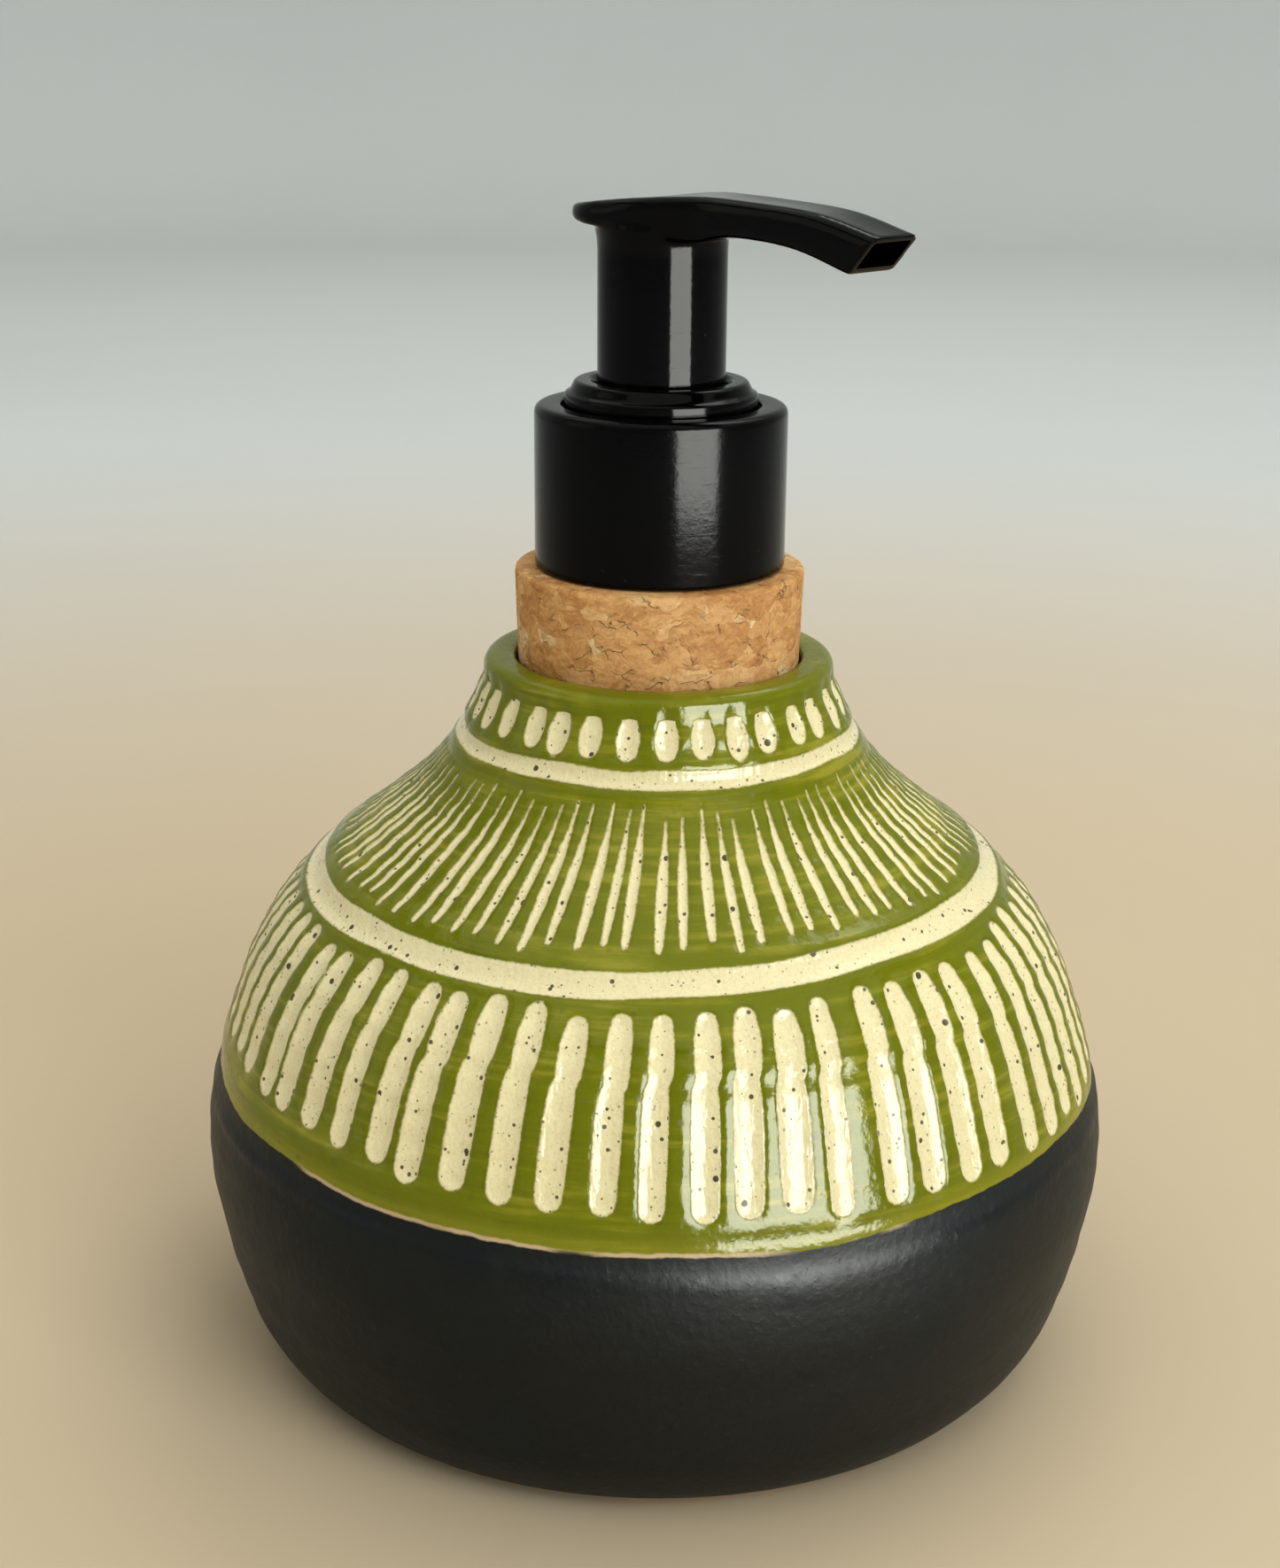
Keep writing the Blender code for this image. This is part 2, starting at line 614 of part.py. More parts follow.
def main():
    clear_scene()
    glaze = finish("green_glaze", (0.17, 0.19, 0.012), 0.16)
    cork = finish("agglomerated_cork", (0.52, 0.32, 0.15), 0.85)
    black = finish("black_plastic", (0.006, 0.006, 0.007), 0.22)
    natural = finish("natural_plastic", (0.78, 0.78, 0.75), 0.4)
    rubber = finish("seal_rubber", (0.55, 0.55, 0.53), 0.6)
    steel = finish("spring_steel", (0.62, 0.61, 0.58), 0.28, 1.0)
    glass = finish("valve_glass", (0.75, 0.82, 0.78), 0.08)

    make_bottle(glaze)
    make_cork(cork)
    make_neck_insert(natural)
    make_collar(black)
    make_gasket(rubber)
    make_housing(natural)
    make_lock_ring(black)
    make_cage(natural)
    make_dip_tube(natural)
    make_spring(steel, CHAMBER_FLOOR + GAP + CAGE_THICKNESS + GAP, STEM_BOTTOM - GAP)

    press_axis = joint_empty("press_axis")
    swivel_axis = joint_empty("swivel_axis", press_axis)
    inlet_axis = joint_empty("inlet_axis")
    outlet_axis = joint_empty("outlet_axis", swivel_axis)
    make_piston(rubber, press_axis)
    make_stem(natural, swivel_axis)
    make_head(black, swivel_axis)
    inlet = seated_ball_height(SEAT_HEIGHT, SEAT_HOLE, INLET_BALL_RADIUS)
    outlet = seated_ball_height(OUTLET_SEAT, OUTLET_HOLE, OUTLET_BALL_RADIUS)
    make_ball("inlet_ball", INLET_BALL_RADIUS, inlet, steel, inlet_axis)
    make_ball("outlet_ball", OUTLET_BALL_RADIUS, outlet, glass, outlet_axis)


main()
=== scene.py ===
"""Soap pump dispenser: carved stoneware bottle, cork stopper and black lotion pump, dressed for rendering.

Sizes in the classes are millimetres and degrees unless they say otherwise. Meshes are built in metres, with
+Z up, the bottle's foot on z = 0 and the spout along +X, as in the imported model.
"""

from __future__ import annotations

import logging
import math
from dataclasses import dataclass, field
from enum import Enum
from typing import Callable, Iterable, Sequence, Union

import bpy
import numpy as np
from mathutils import Matrix, Vector, noise

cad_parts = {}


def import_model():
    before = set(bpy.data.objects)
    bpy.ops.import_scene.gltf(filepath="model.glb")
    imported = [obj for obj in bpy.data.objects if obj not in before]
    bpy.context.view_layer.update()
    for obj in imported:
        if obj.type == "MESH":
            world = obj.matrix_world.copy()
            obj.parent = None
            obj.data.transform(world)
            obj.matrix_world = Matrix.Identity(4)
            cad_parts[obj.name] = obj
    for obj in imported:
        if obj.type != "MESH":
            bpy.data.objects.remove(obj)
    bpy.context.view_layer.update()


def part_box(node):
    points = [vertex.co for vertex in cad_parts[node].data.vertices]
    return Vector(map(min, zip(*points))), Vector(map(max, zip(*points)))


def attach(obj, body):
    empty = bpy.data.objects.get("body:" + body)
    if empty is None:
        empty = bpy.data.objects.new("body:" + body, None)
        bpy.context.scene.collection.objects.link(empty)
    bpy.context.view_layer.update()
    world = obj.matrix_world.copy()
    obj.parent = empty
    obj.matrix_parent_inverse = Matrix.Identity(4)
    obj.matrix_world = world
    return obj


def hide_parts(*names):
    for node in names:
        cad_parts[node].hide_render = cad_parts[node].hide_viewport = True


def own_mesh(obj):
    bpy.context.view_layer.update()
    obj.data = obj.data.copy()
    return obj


LOG = logging.getLogger("soap_pump")
MM = 0.001
FRONT = math.radians(-45.0)

Point = tuple[float, float]
Corner = tuple[float, float, float]
Colour = tuple[float, float, float]
Array = np.ndarray


# --------------------------------------------------------------------------------------------- shader maths


class Value:
    """A shader socket that adds Math nodes when it is used in an expression."""

    def __init__(self, graph: "Graph", socket: bpy.types.NodeSocket) -> None:
        """Wraps a socket of a graph."""
        self.graph = graph
        self.socket = socket

    def math(self, operation: str, *others: "Operand") -> "Value":
        """Adds one Math node.

        Args:
            operation: The Math node's operation.
            others: The further operands.

        Returns:
            The node's result.
        """
        node = self.graph.node("ShaderNodeMath", {"operation": operation}, dict(enumerate((self, *others))))
        return Value(self.graph, node.outputs[0])

    def __add__(self, other: "Operand") -> "Value":
        """Sum."""
        return self.math("ADD", other)

    def __sub__(self, other: "Operand") -> "Value":
        """Difference."""
        return self.math("SUBTRACT", other)

    def __mul__(self, other: "Operand") -> "Value":
        """Product."""
        return self.math("MULTIPLY", other)

    def __rsub__(self, other: float) -> "Value":
        """A number less this value."""
        return (self * -1.0).math("ADD", other)

    __radd__ = __add__
    __rmul__ = __mul__

    def magnitude(self) -> "Value":
        """The value without its sign."""
        return self.math("ABSOLUTE")

    def ramp(self, low: float, high: float) -> "Value":
        """A smooth rise from 0 at low to 1 at high; it falls where low is above high."""
        settings = {"interpolation_type": "SMOOTHSTEP"}
        if low < high:
            values = {"Value": self, "From Min": low, "From Max": high}
        else:
            values = {"Value": self, "From Min": high, "From Max": low, "To Min": 1.0, "To Max": 0.0}
        node = self.graph.node("ShaderNodeMapRange", settings, values)
        return Value(self.graph, node.outputs["Result"])


Operand = Union[Value, float]


class Graph:
    """The nodes of one material around its Principled shader."""

    def __init__(self, name: str) -> None:
        """Starts an empty material with a Principled shader.

        Args:
            name: The material's name.
        """
        self.material = bpy.data.materials.new(name)
        self.material.use_nodes = True
        self.tree = self.material.node_tree
        self.shader = self.tree.nodes["Principled BSDF"]
        self.place = self.node("ShaderNodeTexCoord").outputs["Object"]

    def node(self, kind: str, settings: dict | None = None, inputs: dict | None = None) -> bpy.types.Node:
        """Adds any node.

        Args:
            kind: The node's type.
            settings: Properties that are set first.
            inputs: Values or links by socket name or index.

        Returns:
            The new node.
        """
        made = self.tree.nodes.new(kind)
        for key, value in (settings or {}).items():
            setattr(made, key, value)
        for key, value in (inputs or {}).items():
            self.feed(made.inputs[key], value)
        return made

    def feed(self, socket: bpy.types.NodeSocket, value: object) -> None:
        """Links a value to a socket, or sets the socket to it."""
        if isinstance(value, Value):
            value = value.socket
        if isinstance(value, bpy.types.NodeSocket):
            self.tree.links.new(value, socket)
        elif socket.type == "RGBA" and not isinstance(value, float):
            socket.default_value = (*value, 1.0)[:4]
        else:
            socket.default_value = value

    def attribute(self, name: str) -> Value:
        """A number stored on the mesh."""
        return Value(self, self.node("ShaderNodeAttribute", {"attribute_name": name}).outputs["Fac"])

    def stretched(self, scale: Sequence[float]) -> bpy.types.NodeSocket:
        """Object coordinates scaled by axis."""
        return self.node("ShaderNodeMapping", inputs={"Vector": self.place, "Scale": scale}).outputs["Vector"]

    def noise(self, per_mm: float, detail: float = 3.0, rough: float = 0.5, at: object = None) -> Value:
        """Noise from about 0 to 1.

        Args:
            per_mm: Features in a millimetre.
            detail: Octaves.
            rough: Share that each octave keeps.
            at: Coordinates, or Object coordinates where left out.

        Returns:
            The noise.
        """
        inputs = {"Vector": at or self.place, "Scale": per_mm / MM, "Detail": detail, "Roughness": rough}
        return Value(self, self.node("ShaderNodeTexNoise", inputs=inputs).outputs["Fac"])

    def cells(self, per_mm: float, feature: str = "F1", at: object = None) -> bpy.types.Node:
        """A Voronoi node.

        Args:
            per_mm: Cells in a millimetre.
            feature: What it measures.
            at: Coordinates, or Object coordinates where left out.

        Returns:
            The node.
        """
        inputs = {"Vector": at or self.place, "Scale": per_mm / MM}
        return self.node("ShaderNodeTexVoronoi", {"feature": feature}, inputs)

    def specks(self, per_mm: float, size: float, share: float) -> Value:
        """Round spots in some of the cells of a Voronoi pattern.

        Args:
            per_mm: Cells in a millimetre.
            size: The largest spot's radius, as a share of a cell.
            share: Share of the cells that hold one.

        Returns:
            1 in the spots and 0 between them.
        """
        cell = self.cells(per_mm)
        pick = Value(self, self.node("ShaderNodeSeparateColor", inputs={0: cell.outputs["Color"]}).outputs[0])
        reach = (pick - (1.0 - share)) * (size / share)
        return (reach - Value(self, cell.outputs["Distance"])).ramp(0.0, 0.06)

    def mix(self, share: Operand, first: object, second: object) -> bpy.types.NodeSocket:
        """A colour between two.

        Args:
            share: 0 for the first and 1 for the second.
            first: A colour or a colour socket.
            second: A colour or a colour socket.

        Returns:
            The mixed colour.
        """
        node = self.node("ShaderNodeMix", {"data_type": "RGBA"}, {0: share, 6: first, 7: second})
        return node.outputs[2]

    def blend_steps(self, share: Value, stops: Iterable[tuple[float, Colour]]) -> bpy.types.NodeSocket:
        """A colour from a ramp of stops.

        Args:
            share: Where on the ramp.
            stops: Places and their colours, in order.

        Returns:
            The ramp's colour.
        """
        node = self.node("ShaderNodeValToRGB", inputs={0: share})
        elements = node.color_ramp.elements
        for index, (place, colour) in enumerate(stops):
            element = elements[index] if index < 2 else elements.new(place)
            element.position = place
            element.color = (*colour, 1.0)
        return node.outputs["Color"]

    def relief(
        self, height: Value, depth: float, strength: float = 1.0, over: object = None
    ) -> bpy.types.NodeSocket:
        """A Bump node.

        Args:
            height: The relief, from 0 to 1.
            depth: What 1 stands for, in millimetres.
            strength: How much of the relief shows.
            over: A normal from another relief.

        Returns:
            The new normal.
        """
        inputs = {"Height": height, "Distance": depth * MM, "Strength": strength}
        if over is not None:
            inputs["Normal"] = over
        return self.node("ShaderNodeBump", inputs=inputs).outputs["Normal"]

    def finish(self, **inputs: object) -> bpy.types.Material:
        """Feeds the Principled shader, whose socket names are given with underscores for spaces."""
        for name, value in inputs.items():
            self.feed(self.shader.inputs[name.replace("_", " ")], value)
        return self.material


# ------------------------------------------------------------------------------------------------- finishes


@dataclass(frozen=True)
class CarvedGlaze:
    """Olive glaze cut through to cream slip, over a matte blue-black lower third and a bare foot."""

    olive: Colour = (0.166, 0.180, 0.002)
    olive_thin: Colour = (0.31, 0.29, 0.028)
    olive_pooled: Colour = (0.065, 0.082, 0.001)
    cream: Colour = (0.80, 0.72, 0.44)
    cream_shade: Colour = (0.60, 0.50, 0.26)
    iron: Colour = (0.035, 0.022, 0.012)
    night: Colour = (0.0030, 0.0080, 0.0105)
    night_brown: Colour = (0.014, 0.011, 0.006)
    bare: Colour = (0.55, 0.42, 0.25)

    def material(self) -> bpy.types.Material:
        """Builds the finish from the mesh's carve, zone and bare values, which are millimetres."""
        g = Graph("carved_glaze")
        ragged = g.noise(1.6, 4.0, 0.62)
        carve = g.attribute("carve") + (ragged - 0.5) * 0.34
        zone = g.attribute("zone") + (g.noise(0.5, 3.0) - 0.5) * 0.5
        cut = carve.ramp(0.15, -0.13)
        upper = zone.ramp(-0.08, 0.10)
        clay = g.attribute("bare").ramp(-0.1, 0.15)

        turning = g.noise(0.05, 5.0, 0.6, g.stretched((1.0, 1.0, 22.0)))
        mottle = g.noise(0.11, 4.0, 0.55)
        thin = (turning - 0.5) * 1.3 + (mottle - 0.5) * 0.9
        olive = g.mix(thin.ramp(-0.05, 0.42), self.olive, self.olive_thin)
        pooled = carve.ramp(0.62, 0.05) * g.noise(0.9, 3.0).ramp(0.35, 0.62) * 0.2
        pooled = pooled + (thin * -1.0).ramp(0.02, 0.5) * 0.5
        olive = g.mix(pooled.ramp(0.0, 1.0), olive, self.olive_pooled)
        olive = g.mix(zone.ramp(2.6, 0.2) * 0.45, olive, self.olive_thin)
        grain = g.noise(2.6, 4.0, 0.7)
        # Darker cream (cream_shade): the slip's random grain tone, plus painted shade along the inner rim of
        # each cut.
        grain_and_rim_shade = grain.ramp(0.42, 0.78) * 0.55 + carve.ramp(-0.35, 0.0) * 0.35
        slip = g.mix(grain_and_rim_shade, self.cream, self.cream_shade)
        glaze = g.mix(cut, olive, slip)
        spots = g.specks(1.0, 0.30, 0.62) * 0.85 + g.specks(0.5, 0.25, 0.60)
        spots = spots + g.specks(1.9, 0.36, 0.42) * 0.5
        glaze = g.mix(spots.ramp(0.0, 1.0) * (cut * 0.72 + 0.20), glaze, self.iron)

        brown = g.noise(0.03, 3.0).ramp(0.42, 0.68)
        night = g.mix(brown * 0.45, self.night, self.night_brown)
        dusty = g.noise(0.9, 5.0, 0.75).ramp(0.55, 0.85)
        night = g.mix(dusty * 0.05, night, (0.12, 0.12, 0.11))
        line = zone.magnitude().ramp(0.36, 0.10) * g.noise(0.045, 2.0).ramp(0.49, 0.58)
        colour = g.mix(upper, night, glaze)
        colour = g.mix(line, colour, self.bare)
        chamotte = g.mix(g.noise(1.1, 5.0, 0.7), self.bare, (0.34, 0.24, 0.13))
        colour = g.mix(clay, colour, chamotte)

        shine = upper * (1.0 - clay) * (1.0 - line) * (1.0 - (spots * 0.6).ramp(0.0, 1.0))
        streaks = g.noise(1.3, 2.0, 0.5, g.stretched((1.0, 1.0, 0.10)))
        ridge = zone.ramp(-4.6, -3.3) * zone.ramp(-1.8, -2.9) * g.noise(0.25, 4.0, 0.6).ramp(0.3, 0.6)
        satin = g.noise(0.4, 4.0, 0.6) * 0.16 + 0.38 - ridge * 0.10
        gloss = g.noise(0.22, 3.0) * 0.07 + (1.0 - cut) * 0.05 + 0.04
        rough = satin * (1.0 - shine) + gloss * shine + clay * 0.35
        peel = g.relief(g.noise(0.30, 2.0, 0.4), 0.10, 0.5)
        peel = g.relief(g.noise(0.9, 2.0), 0.09, 0.7, peel)
        peel = g.relief(streaks * (cut * upper), 0.16, 0.8, peel)
        fine = g.relief(grain * (cut * 0.5 + 0.25) + dusty * (1.0 - upper), 0.035, 0.9, peel)
        return g.finish(Base_Color=colour, Roughness=rough, Normal=fine, Specular_IOR_Level=0.30)


@dataclass(frozen=True)
class Cork:
    """Agglomerated cork: pressed granules of several browns with dark gaps and pores."""

    pale: Colour = (0.73, 0.43, 0.180)
    middle: Colour = (0.50, 0.24, 0.075)
    deep: Colour = (0.24, 0.105, 0.032)
    bark: Colour = (0.09, 0.035, 0.012)
    light: Colour = (0.85, 0.64, 0.38)

    def material(self) -> bpy.types.Material:
        """Builds the finish in Object coordinates."""
        g = Graph("agglomerated_cork")
        warp = g.node("ShaderNodeTexNoise", inputs={"Vector": g.place, "Scale": 0.35 / MM, "Detail": 4.0})
        push = {0: warp.outputs["Color"], "Scale": 3.2 * MM}
        bend = g.node("ShaderNodeVectorMath", {"operation": "SCALE"}, push).outputs[0]
        bent = g.node("ShaderNodeVectorMath", {"operation": "ADD"}, {0: g.place, 1: bend}).outputs[0]
        at = g.node("ShaderNodeMapping", inputs={"Vector": bent, "Scale": (0.75, 0.75, 1.35)}).outputs[0]
        flake = g.cells(0.42, at=at)
        tone = Value(g, g.node("ShaderNodeSeparateColor", inputs={0: flake.outputs["Color"]}).outputs[1])
        seam = Value(g, g.cells(0.42, "DISTANCE_TO_EDGE", at).outputs["Distance"])
        fibre = g.noise(1.1, 5.0, 0.75, at)
        grain = g.noise(3.0, 4.0, 0.7)
        cloud = g.noise(0.12, 3.0, 0.5)
        share = tone * 0.28 + fibre * 1.05 + grain * 0.20 + cloud * 0.6 - 0.62
        stops = ((0.0, self.deep), (0.28, self.middle), (0.62, self.pale), (1.0, self.light))
        colour = g.blend_steps(share, stops)
        chips = tone.ramp(0.88, 0.95) * fibre.ramp(0.38, 0.60)
        colour = g.mix(chips * 0.8, colour, self.light)
        gaps = seam.ramp(0.045, 0.0) * g.noise(0.5, 3.0).ramp(0.50, 0.62)
        cracks = (g.noise(0.55, 4.0, 0.7, at) - 0.5).magnitude().ramp(0.022, 0.004) * cloud.ramp(0.42, 0.6)
        pores = g.specks(0.9, 0.28, 0.22)
        dark = (gaps * 0.6 + cracks * 0.22 + pores * 0.7).ramp(0.0, 1.0)
        colour = g.mix(dark * 0.8, colour, self.bark)
        relief = fibre * 0.5 + grain * 0.2 + chips * 0.2 - dark * 0.8
        bumpy = g.relief(relief, 0.30, 0.8)
        return g.finish(Base_Color=colour, Roughness=grain * 0.2 + 0.66, Normal=bumpy, Specular_IOR_Level=0.3)


@dataclass(frozen=True)
class BlackPlastic:
    """Smooth black moulding with faint handling marks and a little dust."""

    name: str = "black_plastic"
    colour: Colour = (0.0012, 0.0012, 0.0013)
    roughness: float = 0.06
    dust: float = 0.015
    peel: float = 0.35

    def material(self) -> bpy.types.Material:
        """Builds the finish in Object coordinates."""
        g = Graph(self.name)
        smear = g.noise(0.12, 4.0, 0.6)
        lint = g.specks(0.8, 0.22, 0.08)
        facing = g.node("ShaderNodeNewGeometry").outputs["Normal"]
        up = Value(g, g.node("ShaderNodeSeparateXYZ", inputs={0: facing}).outputs["Z"])
        settled = up.ramp(0.35, 0.95) * g.noise(0.8, 5.0, 0.7).ramp(0.4, 0.75) * self.dust
        scratch = g.noise(0.25, 3.0, 0.6, g.stretched((1.0, 1.0, 14.0))).ramp(0.60, 0.72)
        colour = g.mix(settled + lint * 0.08, self.colour, (0.22, 0.21, 0.19))
        rough = smear * 0.08 + scratch * 0.05 + settled * 2.0 + self.roughness
        flow = g.relief(g.noise(0.09, 2.0, 0.4), 0.10, self.peel)
        pitted = g.relief(g.noise(1.1, 3.0, 0.6), 0.03, self.peel, flow)
        scratched = g.relief(scratch, 0.004, 0.5, pitted)
        return g.finish(Base_Color=colour, Roughness=rough, Normal=scratched, Specular_IOR_Level=0.15)


@dataclass(frozen=True)
class NaturalPlastic:
    """Milky polypropylene, with flow marks and a slight soap film."""

    name: str = "natural_plastic"
    colour: Colour = (0.80, 0.80, 0.76)
    alpha: float = 1.0
    roughness: float = 0.28

    def material(self) -> bpy.types.Material:
        """Builds the finish in Object coordinates."""
        g = Graph(self.name)
        cloud = g.noise(0.15, 4.0, 0.6)
        film = g.noise(0.5, 5.0, 0.65, g.stretched((1.0, 1.0, 0.35))).ramp(0.45, 0.8)
        shade = tuple(channel * 0.82 for channel in self.colour)
        colour = g.mix(cloud, self.colour, shade)
        rough = film * 0.18 + self.roughness
        marks = g.relief(g.noise(0.3, 3.0), 0.03, 0.5)
        clear = (cloud - 0.5) * 0.12 + self.alpha if self.alpha < 1.0 else 1.0
        return g.finish(
            Base_Color=colour, Roughness=rough, Normal=marks, Alpha=clear,
            Subsurface_Weight=0.12, Subsurface_Scale=0.002,
        )


@dataclass(frozen=True)
class Metal:
    """Stainless steel, drawn as wire or ground as a ball."""

    name: str = "spring_steel"
    colour: Colour = (0.62, 0.60, 0.56)
    roughness: float = 0.18

    def material(self) -> bpy.types.Material:
        """Builds the finish in Object coordinates."""
        g = Graph(self.name)
        drawn = g.noise(1.8, 4.0, 0.7)
        stain = g.noise(0.4, 3.0).ramp(0.5, 0.8)
        colour = g.mix(stain * 0.4, self.colour, (0.38, 0.34, 0.28))
        rough = drawn * 0.16 + stain * 0.12 + self.roughness
        return g.finish(Base_Color=colour, Roughness=rough, Metallic=1.0, Normal=g.relief(drawn, 0.01, 0.5))


@dataclass(frozen=True)
class Glass:
    """A clear glass valve ball with fine bubbles."""

    name: str = "valve_glass"
    colour: Colour = (0.72, 0.82, 0.78)

    def material(self) -> bpy.types.Material:
        """Builds the finish in Object coordinates."""
        g = Graph(self.name)
        bubbles = g.specks(1.6, 0.4, 0.2)
        swirl = g.noise(0.6, 3.0)
        colour = g.mix(bubbles * 0.5 + swirl * 0.2, self.colour, (0.92, 0.95, 0.94))
        return g.finish(
            Base_Color=colour, Roughness=swirl * 0.05 + 0.03, Alpha=bubbles * 0.3 + 0.55, Coat_Weight=1.0
        )


@dataclass(frozen=True)
class StudioSurface:
    """A plain stage surface, a little warmer under the pump than farther off."""

    name: str
    near: Colour
    far: Colour

    def material(self) -> bpy.types.Material:
        """Builds the finish with a faint mottle."""
        g = Graph(self.name)
        reach = g.node("ShaderNodeVectorMath", {"operation": "LENGTH"}, {0: g.place}).outputs["Value"]
        colour = g.mix(Value(g, reach).ramp(0.12, 0.70), self.near, self.far)
        shaded = g.mix(g.noise(0.004, 3.0) * 0.08, colour, (0.1, 0.1, 0.1))
        return g.finish(Base_Color=shaded, Roughness=0.85, Specular_IOR_Level=0.15)


# ------------------------------------------------------------------------------------------------ modelling


def deselect() -> None:
    """Leaves object mode with nothing selected."""
    if bpy.context.object is not None and bpy.context.object.mode != "OBJECT":
        bpy.ops.object.mode_set(mode="OBJECT")
    bpy.ops.object.select_all(action="DESELECT")


def activate(obj: bpy.types.Object) -> None:
    """Makes one object the only selected and the active one."""
    deselect()
    obj.select_set(True)
    bpy.context.view_layer.objects.active = obj


def apply_modifier(obj: bpy.types.Object, kind: str, **settings: object) -> None:
    """Adds a modifier and applies it.

    Args:
        obj: The piece.
        kind: The modifier's type.
        settings: Its properties.
    """
    activate(obj)
    modifier = obj.modifiers.new(kind.lower(), kind)
    for key, value in settings.items():
        setattr(modifier, key, value)
    bpy.ops.object.modifier_apply(modifier=modifier.name)


def cut(obj: bpy.types.Object, cutter: bpy.types.Object, operation: str = "DIFFERENCE") -> None:
    """Cuts or joins a piece with a helper, which is then removed."""
    apply_modifier(obj, "BOOLEAN", operation=operation, solver="EXACT", object=cutter)
    bpy.data.objects.remove(cutter, do_unlink=True)


def smooth(obj: bpy.types.Object, angle: float = 32.0) -> None:
    """Shades a piece smooth, with creases kept above an angle."""
    activate(obj)
    bpy.ops.object.shade_smooth_by_angle(angle=math.radians(angle))


def curve_through(guides: Sequence[Point], spacing: float) -> list[Point]:
    """Points at an even spacing on a Catmull-Rom curve through guides.

    Args:
        guides: Points that the curve passes through.
        spacing: Distance between the points that come back.

    Returns:
        The points, ends included.
    """
    knots = np.array(guides, float)
    line = np.vstack([2 * knots[0] - knots[1], knots, 2 * knots[-1] - knots[-2]])
    t = np.linspace(0.0, 1.0, 24, endpoint=False)[:, None]
    spans = []
    for a, b, c, d in zip(line, line[1:], line[2:], line[3:]):
        bent = (2 * a - 5 * b + 4 * c - d) * t**2
        spans.append(0.5 * (2 * b + (c - a) * t + bent + (3 * b - a - 3 * c + d) * t**3))
    fine = np.vstack([*spans, knots[-1:]])
    reach = np.concatenate([[0.0], np.cumsum(np.linalg.norm(np.diff(fine, axis=0), axis=1))])
    count = max(2, round(reach[-1] / spacing) + 1)
    at = np.linspace(0.0, reach[-1], count)
    return list(zip(np.interp(at, reach, fine[:, 0]), np.interp(at, reach, fine[:, 1])))


def rounded(corners: Sequence[Corner], steps: int = 4) -> list[Point]:
    """A closed outline with round corners.

    Args:
        corners: Radius, height and corner radius of each corner, in order.
        steps: Points on each round corner.

    Returns:
        The outline's points.
    """
    places = [Vector(corner[:2]) for corner in corners]
    points: list[Point] = []
    for index, (radius, height, bend) in enumerate(corners):
        here = places[index]
        before = places[index - 1] - here
        after = places[(index + 1) % len(places)] - here
        bend = min(bend, 0.45 * before.length, 0.45 * after.length)
        if bend < 1e-4:
            points.append((radius, height))
            continue
        start = here + before.normalized() * bend
        end = here + after.normalized() * bend
        for step in range(steps + 1):
            t = step / steps
            spot = start * (1 - t) ** 2 + here * 2 * t * (1 - t) + end * t**2
            points.append((spot.x, spot.y))
    return points


def turn(name: str, outline: Sequence[Point], steps: int) -> bpy.types.Object:
    """Spins a closed section about Z into a closed body.

    Args:
        name: The piece's name.
        outline: Radius and height of the section's points, in millimetres.
        steps: Divisions round the axis.

    Returns:
        The new object.
    """
    deselect()
    bpy.ops.mesh.primitive_circle_add(vertices=len(outline), radius=MM, fill_type="NOTHING")
    made = bpy.context.active_object
    made.name = name
    for vertex, (radius, height) in zip(made.data.vertices, outline):
        vertex.co = (radius * MM, 0.0, height * MM)
    bpy.ops.object.mode_set(mode="EDIT")
    bpy.ops.mesh.select_all(action="SELECT")
    bpy.ops.mesh.spin(steps=steps, angle=math.tau, center=(0, 0, 0), axis=(0, 0, 1))
    bpy.ops.mesh.select_all(action="SELECT")
    bpy.ops.mesh.remove_doubles(threshold=2e-6)
    bpy.ops.mesh.delete_loose()
    bpy.ops.mesh.select_all(action="SELECT")
    bpy.ops.mesh.normals_make_consistent(inside=False)
    bpy.ops.object.mode_set(mode="OBJECT")
    return made


def lathe(name: str, corners: Sequence[Corner], bends: int, steps: int) -> bpy.types.Object:
    """A turned piece with round corners, shaded smooth.

    Args:
        name: The piece's name.
        corners: Radius, height and corner radius of each corner, in order.
        bends: Points on each round corner.
        steps: Divisions round the axis.

    Returns:
        The new object.
    """
    made = turn(name, rounded(corners, bends), steps)
    smooth(made)
    return made


def block(place: Matrix, size: Corner) -> bpy.types.Object:
    """A helper box at a place, its size in millimetres."""
    deselect()
    bpy.ops.mesh.primitive_cube_add(size=MM)
    made = bpy.context.active_object
    made.data.transform(place @ Matrix.Diagonal((*size, 1.0)))
    return made


def spoke(angle: float) -> Vector:
    """The level direction at an angle about Z, in radians."""
    return Vector((math.cos(angle), math.sin(angle), 0.0))


def bridge(name: str, rings: Sequence[Sequence[Vector]], closed: bool = False) -> bpy.types.Object:
    """Bridges a stack of point rings into a body, with faces over both ends.

    Args:
        name: The piece's name.
        rings: Rings of matching points, in metres.
        closed: Whether the last ring joins the first.

    Returns:
        The new object.
    """
    size = len(rings[0])
    points = [tuple(point) for ring in rings for point in ring]
    faces = []
    for row in range(len(rings) - (0 if closed else 1)):
        below = row * size
        above = ((row + 1) % len(rings)) * size
        for index in range(size):
            after = (index + 1) % size
            faces.append((below + index, below + after, above + after, above + index))
    if not closed:
        faces.append(tuple(range(size)))
        faces.append(tuple(range(len(points) - size, len(points))))
    mesh = bpy.data.meshes.new(name)
    mesh.from_pydata(points, [], faces)
    made = bpy.data.objects.new(name, mesh)
    bpy.context.scene.collection.objects.link(made)
    activate(made)
    bpy.ops.object.mode_set(mode="EDIT")
    bpy.ops.mesh.select_all(action="SELECT")
    bpy.ops.mesh.normals_make_consistent(inside=False)
    bpy.ops.object.mode_set(mode="OBJECT")
    return made


